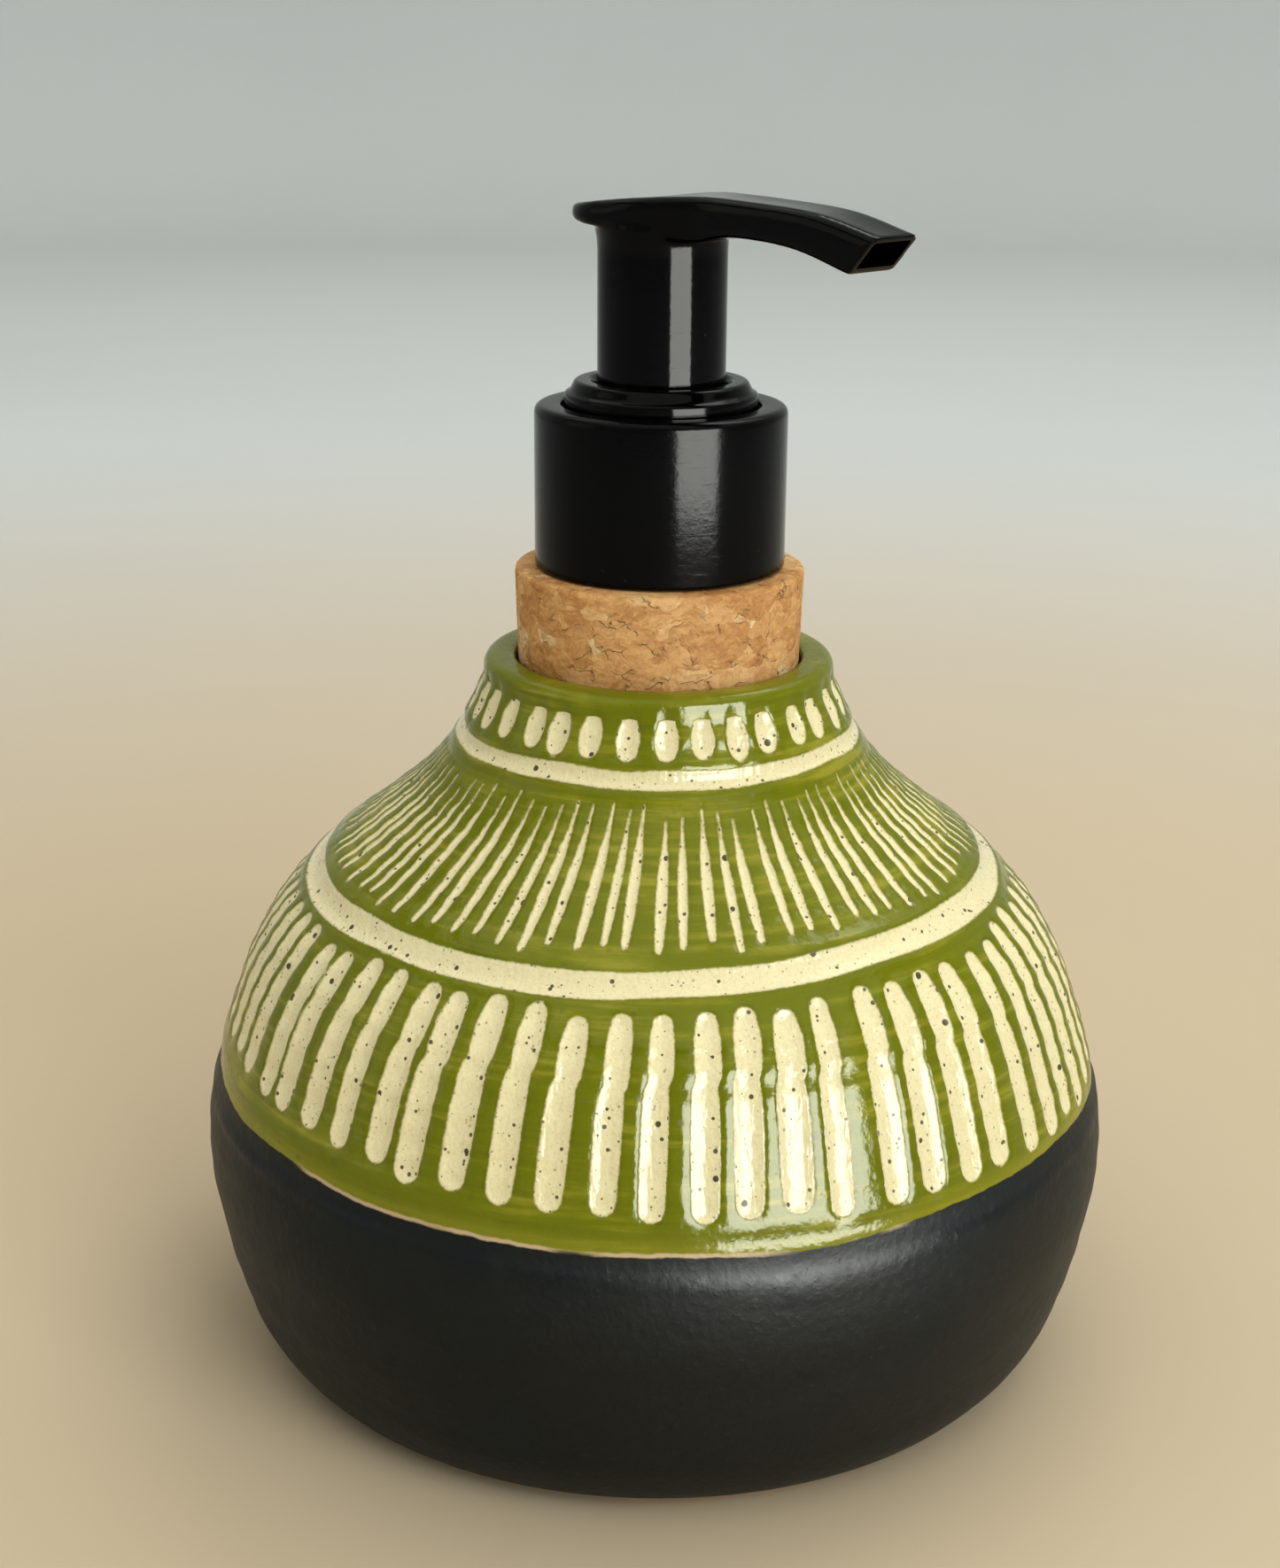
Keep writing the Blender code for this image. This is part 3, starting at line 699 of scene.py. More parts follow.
def coordinates(obj: bpy.types.Object) -> Array:
    """The mesh's points in millimetres, one row each."""
    flat = np.empty(len(obj.data.vertices) * 3, np.float32)
    obj.data.vertices.foreach_get("co", flat)
    return flat.reshape(-1, 3).astype(float) / MM


def move_points(obj: bpy.types.Object, points: Array) -> None:
    """Puts the mesh's points at new places, in millimetres."""
    obj.data.vertices.foreach_set("co", (points * MM).astype(np.float32).ravel())
    obj.data.update()


def store(obj: bpy.types.Object, name: str, values: Array) -> None:
    """Stores a number on each of the mesh's points."""
    attribute = obj.data.attributes.new(name, "FLOAT", "POINT")
    attribute.data.foreach_set("value", values.astype(np.float32))


def dress(obj: bpy.types.Object, material: bpy.types.Material, body: str, slot: str, *nodes: str) -> None:
    """Gives a piece its finish and body, and hides the CAD nodes that it stands for."""
    obj.data.materials.clear()
    obj.data.materials.append(material)
    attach(obj, body)
    if nodes:
        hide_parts(*nodes)
    LOG.info("%s: %d faces on %s", obj.name, len(obj.data.polygons), body)


def ease(values: Array, low: float, high: float) -> Array:
    """A smooth rise from 0 at low to 1 at high."""
    share = np.clip((values - low) / (high - low), 0.0, 1.0)
    return share * share * (3 - 2 * share)


@dataclass(frozen=True)
class Wander:
    """A hand-drawn line's rise and fall once round the pot."""

    sway: float
    lead: float
    ripple: float
    seed: int
    harmonics: tuple[int, ...] = (2, 3, 5, 8, 13)

    def at(self, around: Array) -> Array:
        """How far the line is off its level.

        Args:
            around: Angles from the front, in radians.

        Returns:
            The offsets.
        """
        rng = np.random.default_rng(self.seed)
        offset = self.sway * np.sin(around + math.radians(self.lead))
        for harmonic in self.harmonics:
            phase = rng.uniform(0.0, math.tau)
            offset = offset + self.ripple * np.sin(harmonic * around + phase) / math.sqrt(harmonic)
        return offset


class StrokeShape(Enum):
    """How wide a stroke is from its foot to its tip."""

    SEED = "oval dash"
    NEEDLE = "thin with a drawn-out tip"
    TONGUE = "broad with round ends, cut in two goes"


@dataclass(frozen=True)
class CutRing:
    """A groove cut round the pot."""

    height: float
    half_width: float
    line: Wander
    edge: Wander

    def distance(self, around: Array, along: Array, climb: Callable[[Array], Array]) -> Array:
        """Distance outside the groove's edge, which is negative inside it.

        Args:
            around: Angles from the front.
            along: Lengths up the wall.
            climb: Gives the length up the wall at a height.

        Returns:
            The distances.
        """
        middle = climb(self.height + self.line.at(around))
        return np.abs(along - middle) - self.half_width - self.edge.at(around)


@dataclass(frozen=True)
class CutRow:
    """A row of upright strokes cut round the pot."""

    shape: StrokeShape
    count: int
    first: float
    foot: float
    tip: float
    half_width: float
    slant: float
    slant_change: float
    foot_line: Wander
    tip_line: Wander
    loose: float
    seed: int
    crowding: float = 0.0

    def width_at(self, share: Array, notch: Array) -> Array:
        """The half width from foot to tip, as a share of the widest.

        Args:
            share: 0 at the foot and 1 at the tip.
            notch: Where each stroke's second go starts.

        Returns:
            The half widths.
        """
        if self.shape is StrokeShape.SEED:
            return 0.50 + 0.50 * np.sin(np.pi * np.clip(share * 0.92 + 0.04, 0, 1))
        if self.shape is StrokeShape.NEEDLE:
            return 0.62 + 0.42 * np.sin(np.pi * np.clip(share * 1.25, 0, 1)) - 0.40 * ease(share, 0.62, 1.0)
        waist = np.exp(-(((share - notch) / 0.05) ** 2))
        belly = 0.93 + 0.08 * np.sin(np.pi * share / 0.66).clip(0, 1)
        return belly - 0.08 * waist - 0.20 * ease(share, 0.86, 1.0)

    def distance(self, around: Array, along: Array, radius: Array, climb: Callable[[Array], Array]) -> Array:
        """Distance outside the nearest stroke's edge, which is negative inside it.

        Args:
            around: Angles from the front.
            along: Lengths up the wall.
            radius: Radii of the wall.
            climb: Gives the length up the wall at a height.

        Returns:
            The distances.
        """
        rng = np.random.default_rng(self.seed)
        pitch = math.tau / self.count
        number = np.arange(self.count)
        shift, low, high, fat, lean = rng.normal(0.0, 1.0, (5, self.count))
        notch = rng.normal(0.665, 0.02, self.count)
        centre = math.radians(self.first) + number * pitch + 0.09 * self.loose * pitch * shift
        centre = centre + self.crowding * np.sin(centre)
        foot = climb(self.foot + self.foot_line.at(centre) + 0.30 * self.loose * low)
        tip = climb(self.tip + self.tip_line.at(centre) + 0.35 * self.loose * high)
        half = self.half_width * (1.0 + 0.07 * self.loose * fat)
        tilt = self.slant + self.slant_change * np.sin(centre) + 0.12 * self.loose * lean
        even = around - self.crowding * np.sin(around - self.crowding * np.sin(around))
        nearest = np.rint((even - math.radians(self.first)) / pitch).astype(int)
        best = np.full(around.shape, np.inf)
        for step in (-1, 0, 1):
            pick = (nearest + step) % self.count
            inset = 0.8 * half[pick]
            clamped = np.clip(along, foot[pick] + inset, tip[pick] - 0.45 * inset)
            share = (clamped - foot[pick]) / (tip[pick] - foot[pick])
            turned = (around - centre[pick] + np.pi) % math.tau - np.pi
            sideways = radius * turned - tilt[pick] * (share - 0.5)
            if self.shape is StrokeShape.TONGUE:
                sideways = sideways - 0.42 * ease(share, notch[pick] - 0.03, notch[pick] + 0.03)
            reach = np.hypot(sideways, along - clamped)
            best = np.minimum(best, reach - half[pick] * self.width_at(share, notch[pick]))
        return best


@dataclass
class CarvedBottle:
    """The thrown and carved bottle, one closed body from foot to mouth and down inside."""

    outer: tuple[Point, ...] = (
        (45.6, 0.6), (50.4, 3.2), (54.2, 11.0), (57.1, 26.5), (55.4, 38.0), (50.2, 52.5),
        (43.0, 62.0), (34.3, 69.0), (27.8, 75.0), (23.9, 81.0), (21.6, 86.0),
    )
    inner: tuple[Point, ...] = (
        (42.5, 6.6), (48.6, 12.5), (52.2, 26.5), (50.4, 38.0), (45.4, 51.0),
        (38.6, 60.0), (29.6, 67.2), (23.0, 72.2), (17.0, 77.0),
    )
    steps: int = 552
    carved_from: float = 34.0
    fine_spacing: float = 0.61
    boundary: float = 37.4
    cut_depth: float = 0.46
    ring_depth: float = 0.50
    scoop: float = 1.6
    land: float = 0.09
    glaze_edge: float = 0.14
    ridge_drop: float = 3.1
    ridge_height: float = 0.22
    ridge_width: float = 0.60
    sunk: float = 0.28
    boundary_line: Wander = field(default_factory=lambda: Wander(-0.45, 10.0, 0.42, 5))
    rings: tuple[CutRing, ...] = (
        CutRing(79.95, 1.05, Wander(0.20, -60.0, 0.16, 11), Wander(0.0, 0.0, 0.09, 12, (3, 7, 11, 17, 29))),
        CutRing(62.90, 1.62, Wander(0.60, -10.0, 0.16, 13), Wander(0.0, 0.0, 0.13, 14, (3, 5, 9, 17, 23))),
    )
    rows: tuple[CutRow, ...] = (
        CutRow(
            StrokeShape.SEED, 33, 2.3, 81.75, 86.5, 1.40, 0.15, -0.25,
            Wander(0.1, 0.0, 0.10, 21), Wander(0.1, 0.0, 0.12, 22), 0.5, 23,
        ),
        CutRow(
            StrokeShape.NEEDLE, 81, 1.0, 65.1, 77.0, 0.57, 0.95, -0.75,
            Wander(0.35, 20.0, 0.30, 31), Wander(0.1, 80.0, 0.35, 32), 1.15, 33,
        ),
        CutRow(
            StrokeShape.TONGUE, 66, 0.0, 40.7, 60.0, 1.62, 0.75, -0.2,
            Wander(-2.5, 0.0, 0.30, 41), Wander(0.35, 0.0, 0.20, 42), 0.9, 43, 0.075,
        ),
    )

    def hollow(self, inside: Array) -> Array:
        """A scooped section, from 0 outside a cut to 1 on its middle line.

        Args:
            inside: Distance in from the cut's edge.

        Returns:
            The share of the full depth.
        """
        share = np.clip((inside + 0.12) / self.scoop, 0.0, 1.0)
        return share * (2.0 - share)

    def outline(self) -> list[Point]:
        """The closed section from the base's centre, up outside, over the lip and down inside."""
        wall = curve_through(self.outer, self.fine_spacing)
        lower = [point for point in wall[::3] if point[1] < self.carved_from]
        upper = [point for point in wall if point[1] >= self.carved_from]
        lip = rounded([(21.6, 86.0, 0.0), (20.9, 88.4, 2.0), (17.32, 88.4, 0.8), (17.15, 84.5, 0.0)], 7)
        inside = curve_through(tuple(reversed(self.inner)), 5.2)
        foot = [(0.0, 1.2, 0.0), (37.6, 1.2, 0.6), (38.7, 0.0, 0.5), (45.0, 0.0, 0.5), (45.6, 0.6, 0.0)]
        base = rounded(foot, 3)
        return [*base[:-1], *lower, *upper, *lip[1:], *inside, (34.0, 5.0), (12.0, 5.0), (0.0, 5.0)]

    def build(self) -> bpy.types.Object:
        """Turns the body, cuts its pattern and stores the values that its finish reads.

        Returns:
            The finished bottle.
        """
        made = turn("carved_bottle", self.outline(), self.steps)
        points = coordinates(made)
        radius = np.hypot(points[:, 0], points[:, 1])
        around = (np.arctan2(points[:, 1], points[:, 0]) - FRONT + np.pi) % math.tau - np.pi
        height = points[:, 2]
        wall = np.array(curve_through(self.outer, 0.4))
        reach = np.concatenate([[0.0], np.cumsum(np.linalg.norm(np.diff(wall, axis=0), axis=1))])
        slope = np.gradient(wall, axis=0)
        slope /= np.linalg.norm(slope, axis=1)[:, None]
        on_wall = np.abs(radius - np.interp(height, wall[:, 1], wall[:, 0])) < 0.12
        on_wall &= (height > 0.5) & (height < 87.0)
        along = np.interp(height, wall[:, 1], reach)
        outward = np.interp(height, wall[:, 1], slope[:, 1])
        upward = -np.interp(height, wall[:, 1], slope[:, 0])

        def climb(level: Array) -> Array:
            """Length up the wall at a height."""
            return np.interp(level, wall[:, 1], reach)

        grooves = np.minimum.reduce([ring.distance(around, along, climb) for ring in self.rings])
        strokes = np.minimum.reduce([row.distance(around, along, radius, climb) for row in self.rows])
        carve = np.where(on_wall, np.minimum(grooves, strokes), 4.0).clip(-4.0, 4.0)
        level = self.boundary + self.boundary_line.at(around)
        zone = np.where(on_wall, along - climb(level), np.where(height > 36.0, 30.0, 8.0))

        relief = -self.cut_depth * self.hollow(-strokes) - self.ring_depth * self.hollow(-grooves)
        relief -= self.land * ease(-strokes, -1.3, -0.2)
        relief += 0.05 * np.exp(-(((carve - 0.45) / 0.25) ** 2))
        relief += self.glaze_edge * (ease(zone, -0.25, 0.35) - 1.0)
        below = zone + self.ridge_drop + 0.4 * np.sin(3 * around)
        relief += self.ridge_height * np.exp(-((below / self.ridge_width) ** 2))
        throwing = 0.05 * np.sin(along * math.tau / 3.3 + 1.2 * np.sin(around))
        relief += throwing + 0.05 * np.sin(along * 0.71 + 1.0)
        relief += 0.10 * np.sin(2 * around + 0.6) * ease(height, 0.0, 12.0) - self.sunk
        relief = np.where(on_wall, relief * ease(height, 0.4, 4.0) * ease(-height, -87.2, -85.6), 0.0)
        out = radius + relief * outward
        scale = np.where(radius > 1e-6, out / np.maximum(radius, 1e-6), 1.0)
        points[:, 0] *= scale
        points[:, 1] *= scale
        points[:, 2] += relief * upward
        move_points(made, points)
        base_line = 1.0 + 0.25 * np.sin(4 * around + 1.0) + 0.15 * np.sin(9 * around)
        outside_foot = np.where(radius > 44.5, base_line - height, 1.0)
        bare = np.where((height < 4.0) & (radius > 1.0) | (height < 1.5), outside_foot, -1.0)
        bare = np.where((radius < 17.6) & (height > 76.0) & (height < 87.2), 1.0, bare)
        store(made, "carve", carve)
        store(made, "zone", zone)
        store(made, "bare", bare)
        smooth(made, 60.0)
        return made


@dataclass
class CorkStopper:
    """The tapered cork, stepped inside for the threaded neck."""

    foot: float = 78.0
    top: float = 99.2
    foot_radius: float = 16.7
    top_radius: float = 17.38
    bore: float = 8.0
    neck_bore: float = 13.0
    neck_foot: float = 87.7
    pit_depth: float = 0.16
    steps: int = 360

    def build(self) -> bpy.types.Object:
        """Turns the cork and roughens its skin.

        Returns:
            The finished cork.
        """
        rise = [self.foot + share * (self.top - self.foot) for share in np.linspace(0.05, 0.95, 44)]
        corners = rounded(
            [
                (self.bore, self.foot, 0.3),
                (self.foot_radius, self.foot, 0.8),
                (self.top_radius, self.top, 0.75),
                (self.neck_bore, self.top, 0.2),
                (self.neck_bore, self.neck_foot, 0.0),
                (self.bore, self.neck_foot, 0.0),
            ],
            5,
        )
        split = 12
        side = [(self.radius_at(height), height) for height in rise[1:-1]]
        made = turn("cork_body", [*corners[:split], *side, *corners[split:]], self.steps)
        points = coordinates(made)
        radius = np.hypot(points[:, 0], points[:, 1])
        skin = radius > self.neck_bore + 0.5
        depth = np.zeros(len(points))
        for index in np.flatnonzero(skin):
            spot = Vector(points[index])
            near = noise.voronoi(spot * 0.62)[0]
            grain = noise.fractal(spot * 0.9, 1.0, 2.0, 3)
            depth[index] = 0.5 * max(0.0, 0.32 - (near[1] - near[0])) + 0.28 * max(0.0, grain)
        inward = 1.0 - self.pit_depth * depth / np.maximum(radius, 1.0)
        points[:, 0] *= inward
        points[:, 1] *= inward
        points[:, 2] -= np.where(skin & (points[:, 2] > self.top - 0.8), self.pit_depth * depth, 0.0)
        move_points(made, points)
        smooth(made, 50.0)
        return made

    def radius_at(self, height: float) -> float:
        """The taper's radius at a height."""
        share = (height - self.foot) / (self.top - self.foot)
        return self.foot_radius + share * (self.top_radius - self.foot_radius)


@dataclass
class Closure:
    """The screw collar, the neck that it screws on, the gasket and the stepped lock ring."""

    steps: int = 160
    collar_radius: float = 14.95
    collar_bore: float = 13.9
    collar_foot: float = 99.5
    collar_top: float = 118.5
    collar_hole: float = 11.8
    roof: float = 1.2
    ring_radius: float = 11.4
    ring_bore: float = 7.9
    ring_top: float = 121.3

    def collar(self) -> bpy.types.Object:
        """The plain collar, round at its top edge and eased at its foot."""
        under = self.collar_top - self.roof
        corners = [
            (self.collar_bore, self.collar_foot, 0.25),
            (self.collar_radius, self.collar_foot, 0.3),
            (self.collar_radius, self.collar_top, 1.15),
            (self.collar_hole, self.collar_top, 0.3),
            (self.collar_hole, under, 0.15),
            (self.collar_bore, under, 0.4),
        ]
        return lathe("collar_shell", corners, 7, self.steps)

    def lock_ring(self) -> bpy.types.Object:
        """The stepped rim, a short wall and a low cone up to the shroud."""
        corners = [
            (9.9, 117.3, 0.0),
            (self.ring_radius, 117.3, 0.1),
            (self.ring_radius, 119.75, 0.35),
            (10.75, 120.1, 0.3),
            (10.15, self.ring_top, 0.45),
            (self.ring_bore + 0.45, self.ring_top, 0.35),
            (self.ring_bore, self.ring_top - 0.7, 0.25),
            (self.ring_bore, 118.7, 0.0),
            (9.9, 118.7, 0.0),
        ]
        return lathe("lock_rim", corners, 6, self.steps)

    def neck(self) -> bpy.types.Object:
        """The threaded neck that stands in the cork."""
        corners = [(10.2, 88.0, 0.2), (12.7, 88.0, 0.3), (12.7, 114.3, 0.3), (10.2, 114.3, 0.3)]
        made = turn("threaded_neck", rounded(corners, 3), 96)
        cut(made, self.thread(), "UNION")
        smooth(made)
        return made

    def thread(self) -> bpy.types.Object:
        """One helical ridge that fades out at both ends."""
        turns, per_turn, pitch = 1.5, 64, 4.23
        count = int(turns * per_turn)
        rings = []
        for step in range(count + 1):
            fade = min(1.0, (min(step, count - step) + 1) / 10)
            tip = 12.4 + 1.05 * fade
            height = 104.5 + pitch * step / per_turn
            section = ((12.4, -0.75), (tip, -0.38), (tip, 0.38), (12.4, 0.75))
            out = spoke(math.tau * step / per_turn)
            rings.append([(out * radius + Vector((0, 0, height + rise))) * MM for radius, rise in section])
        return bridge("neck_ridge", rings)

    def gasket(self) -> bpy.types.Object:
        """The flat seal."""
        corners = [(10.2, 114.6, 0.2), (12.8, 114.6, 0.2), (12.8, 115.6, 0.2), (10.2, 115.6, 0.2)]
        return lathe("flat_seal", corners, 3, 96)


@dataclass
class PumpHead:
    """The shroud and the arched saddle with its hollow spout, in one moulding."""

    top: tuple[Point, ...] = (
        (-11.5, 140.7), (-6.7, 141.4), (0.7, 142.3), (8.3, 142.8),
        (16.0, 142.7), (26.0, 142.1), (34.8, 140.2),
    )
    under: tuple[Point, ...] = (
        (-11.5, 139.9), (-6.7, 139.2), (0.7, 138.6), (8.3, 137.8),
        (14.0, 138.7), (23.0, 138.2), (31.2, 136.1),
    )
    centre: float = -3.6
    saddle_half: float = 7.9
    spout_half: float = 4.3
    tip_half: float = 3.9
    spout_from: float = 12.0
    corner: float = 0.6
    top_corner: float = 1.3
    dish: float = 0.35
    wall: float = 0.85
    shroud_radius: float = 7.55
    shroud_foot: float = 116.4
    stations: int = 90
    voxel: float = 0.23

    def half_width(self, along: float) -> float:
        """The head's plan: a round back, a full-width saddle and a narrow spout."""
        if along < self.centre:
            share = (self.centre - along) / (self.centre - self.top[0][0] + 0.05)
            return self.saddle_half * math.sqrt(max(1.0 - share**2, 0.0))
        if along < self.spout_from:
            share = max(along, 0.0) / self.spout_from
            return self.saddle_half + (self.spout_half - self.saddle_half) * share * share * (3 - 2 * share)
        share = (along - self.spout_from) / (self.top[-1][0] - self.spout_from)
        return self.spout_half + (self.tip_half - self.spout_half) * share

    def sections(self, inset: float = 0.0, start: float = -99.0, overrun: float = 0.0) -> list[list[Vector]]:
        """Rounded rectangles across the head, drawn in by inset for its bore.

        Args:
            inset: Wall thickness taken off all round.
            start: Where the sections begin along X.
            overrun: How far the last one is pushed on past the tip.

        Returns:
            The rings of points, in metres.
        """
        tops = self.resampled(self.top)
        unders = self.resampled(self.under)
        rings = []
        for upper, lower in zip(tops, unders):
            if upper[0] < start:
                continue
            half = self.half_width(upper[0]) - inset
            if inset:
                half = min(half, self.spout_half - inset)
            rings.append(self.ring(upper, lower, max(half, 0.25), inset))
        if overrun:
            push = Vector((overrun, 0.0, -0.3 * overrun)) * MM
            rings.append([point + push for point in rings[-1]])
        return rings

    def resampled(self, guides: tuple[Point, ...]) -> list[Point]:
        """The same number of points along a guide curve, whatever its length."""
        fine = np.array(curve_through(guides, 0.1))
        at = np.linspace(0.0, len(fine) - 1.0, self.stations)
        index = np.arange(len(fine))
        return list(zip(np.interp(at, index, fine[:, 0]), np.interp(at, index, fine[:, 1])))

    def ring(self, upper: Point, lower: Point, half: float, inset: float) -> list[Vector]:
        """One rounded rectangle, leaning from its under point to its top point."""
        top = Vector((upper[0], 0.0, upper[1]))
        foot = Vector((lower[0], 0.0, lower[1]))
        up = (top - foot).normalized()
        top -= up * inset
        foot += up * inset
        most = min(half * 0.45, (top - foot).length * 0.42)
        sink = 0.0 if inset else self.dish * (half / self.saddle_half) ** 2
        ring = []
        for base, side, first in ((top, 1, 0), (top, -1, 90), (foot, -1, 180), (foot, 1, 270)):
            corner = min(max((self.top_corner if base is top else self.corner) - inset, 0.25), most)
            inward = -1 if base is top else 1
            middle = base + up * inward * corner + Vector((0.0, side * (half - corner), 0.0))
            for turned in (0, 22.5, 45, 67.5, 90):
                angle = math.radians(first + turned)
                ring.append(middle + corner * (Vector((0, math.cos(angle), 0)) + up * math.sin(angle)))
            if base is top and side == 1:
                for share in np.linspace(0.85, -0.85, 9):
                    dip = up * sink * (1.0 - share * share)
                    ring.append(base + Vector((0.0, share * (half - corner), 0.0)) - dip)
        return [point * MM for point in ring]

    def build(self) -> bpy.types.Object:
        """Joins saddle and shroud, melts them together and bores the moulding out.

        Returns:
            The finished head.
        """
        made = bridge("pump_head", self.sections())
        shroud = [
            (0.0, self.shroud_foot),
            (self.shroud_radius, self.shroud_foot),
            (self.shroud_radius, 136.2),
            (self.shroud_radius + 0.08, 137.4),
            (self.shroud_radius + 0.25, 138.3),
            (self.shroud_radius + 0.3, 139.1),
            (self.shroud_radius - 0.3, 139.9),
            (0.0, 139.9),
        ]
        cut(made, turn("shroud", shroud, 96), "UNION")
        apply_modifier(made, "REMESH", mode="VOXEL", voxel_size=self.voxel * MM, adaptivity=0.0)
        apply_modifier(made, "SMOOTH", factor=0.5, iterations=5)
        bead = [(7.2, 116.7), (8.3, 116.9), (8.3, 118.0), (7.2, 118.25)]
        cut(made, turn("bead", bead, 96), "UNION")
        hollow = [(0.0, 126.0), (4.9, 126.0), (4.9, 135.4), (6.4, 135.4), (6.4, 115.0), (0.0, 115.0)]
        cut(made, turn("hollow", hollow, 96))
        bore = [(0.0, 125.0), (3.9, 125.0), (3.9, 137.9), (2.4, 137.9), (2.4, 140.4), (0.0, 140.4)]
        cut(made, turn("stem_bore", bore, 64))
        cut(made, bridge("spout_bore", self.sections(self.wall, 0.5, 2.0)))
        smooth(made, 38.0)
        return made


@dataclass
class PumpWorks:
    """What hangs below the closure and works inside it."""

    spring_radius: float = 4.4
    spring_wire: float = 0.4
    spring_turns: int = 7
    spring_foot: float = 73.8
    spring_top: float = 94.3

    def housing(self) -> bpy.types.Object:
        """Flange, well, pumping chamber, valve seat and tube socket."""
        corners = [
            (3.3, 54.5, 0.2), (4.4, 54.5, 0.3), (4.4, 68.5, 0.8), (6.6, 70.5, 0.8), (6.6, 99.5, 1.0),
            (9.7, 101.5, 0.8), (9.7, 115.9, 0.3), (13.2, 115.9, 0.3), (13.2, 117.0, 0.3), (9.7, 117.0, 0.2),
            (9.7, 118.4, 0.2), (8.6, 118.4, 0.2), (8.6, 101.5, 0.3), (5.6, 101.5, 0.3), (5.6, 71.5, 0.2),
            (3.2, 71.5, 0.2), (3.2, 66.73, 0.2), (1.6, 64.6, 0.2), (1.6, 63.0, 0.2), (3.3, 63.0, 0.2),
        ]
        made = turn("pump_barrel", rounded(corners, 4), 128)
        vent = turn("vent", [(0.0, 8.0), (0.6, 8.0), (0.6, 12.0), (0.0, 12.0)], 24)
        vent.data.transform(Matrix.Translation((0, 0, 0.106)) @ Matrix.Rotation(math.radians(90.0), 4, "Y"))
        cut(made, vent)
        self.ribs(made)
        smooth(made)
        return made

    def ribs(self, made: bpy.types.Object) -> None:
        """Four moulded ribs along the chamber."""
        for quarter in range(4):
            angle = math.radians(45.0 + 90.0 * quarter)
            place = Matrix.Rotation(angle, 4, "Z") @ Matrix.Translation((0.0066, 0.0, 0.0855))
            rib = block(place, (1.0, 0.8, 24.0))
            apply_modifier(rib, "BEVEL", width=0.0002, segments=3)
            cut(made, rib, "UNION")

    def dip_tube(self) -> bpy.types.Object:
        """The straight tube with its slanted foot."""
        corners = [(2.2, 6.6, 0.1), (3.0, 6.6, 0.1), (3.0, 62.7, 0.15), (2.2, 62.7, 0.15)]
        made = turn("draw_tube", rounded(corners, 3), 64)
        points = coordinates(made)
        low = points[:, 2] < 30.0
        points[:, 2] += np.where(low, (3.0 - points[:, 0]) * math.tan(math.radians(35.0)), 0.0)
        move_points(made, points)
        smooth(made)
        return made

    def cage(self) -> bpy.types.Object:
        """The spring seat with its guide and the grooves that let soap past the ball."""
        corners = [
            (1.7, 71.8, 0.1), (5.3, 71.8, 0.3), (5.3, 73.5, 0.3),
            (3.4, 73.5, 0.3), (3.4, 77.0, 0.3), (1.7, 77.0, 0.2),
        ]
        made = turn("spring_seat", rounded(corners, 3), 72)
        for turned in (0.0, 90.0):
            place = Matrix.Translation((0, 0, 0.0718)) @ Matrix.Rotation(math.radians(turned), 4, "Z")
            cut(made, block(place, (6.0, 1.2, 2.0)))
        smooth(made)
        return made

    def stem(self) -> bpy.types.Object:
        """The hollow stem with the piston's flange and the outlet seat."""
        corners = [
            (1.7, 94.6, 0.1), (4.8, 94.6, 0.3), (4.8, 95.8, 0.2), (3.6, 95.8, 0.1), (3.6, 100.2, 0.1),
            (4.8, 100.2, 0.2), (3.6, 101.4, 0.3), (3.6, 137.6, 0.3), (2.6, 137.6, 0.2), (2.6, 133.73, 0.1),
            (1.3, 132.0, 0.1), (1.3, 131.0, 0.1), (1.7, 130.5, 0.1),
        ]
        return lathe("hollow_stem", corners, 3, 96)

    def piston(self) -> bpy.types.Object:
        """The soft sleeve with a wiping lip at each end."""
        corners = [
            (3.9, 96.1, 0.1), (4.6, 96.1, 0.1), (4.9, 96.7, 0.2), (5.3, 96.1, 0.1), (5.3, 96.7, 0.2),
            (4.7, 97.6, 0.3), (4.7, 98.4, 0.3), (5.3, 99.3, 0.2), (5.3, 99.9, 0.1), (4.9, 99.3, 0.2),
            (4.6, 99.9, 0.1), (3.9, 99.9, 0.1),
        ]
        return lathe("piston_sleeve", corners, 3, 96)

    def spring(self) -> bpy.types.Object:
        """The round-wire spring with nearly closed, cut-off end turns."""
        per_turn, sides = 40, 12
        count = self.spring_turns * per_turn
        low = self.spring_foot + self.spring_wire
        high = self.spring_top - self.spring_wire
        end_rise = 2.2 * self.spring_wire
        rings = []
        for step in range(count + 1):
            turns = step / per_turn
            share = min(max((turns - 1) / (self.spring_turns - 2), 0.0), 1.0)
            rise = end_rise * (min(turns, 1.0) + max(turns - self.spring_turns + 1, 0.0))
            height = low + rise + (high - low - 2 * end_rise) * share
            out = spoke(math.tau * turns)
            ring = []
            for side in range(sides):
                roll = math.tau * side / sides
                reach = self.spring_radius + self.spring_wire * math.cos(roll)
                ring.append((out * reach + Vector((0, 0, height + self.spring_wire * math.sin(roll)))) * MM)
            rings.append(ring)
        made = bridge("coil_spring", rings)
        smooth(made, 60.0)
        return made

    def ball(self, name: str, node: str) -> bpy.types.Object:
        """A valve ball, as large as and where its CAD node is."""
        low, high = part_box(node)
        deselect()
        bpy.ops.mesh.primitive_ico_sphere_add(subdivisions=5, radius=(high.z - low.z) / 2)
        made = bpy.context.active_object
        made.name = name
        made.data.transform(Matrix.Translation((low + high) / 2))
        band = coordinates(made)
        middle = band.mean(axis=0)
        offset = band - middle
        ground = 1.0 - 0.002 * (np.abs(offset[:, 2]) < 0.12 * offset[:, 2].max())
        move_points(made, middle + offset * ground[:, None])
        smooth(made, 60.0)
        return made


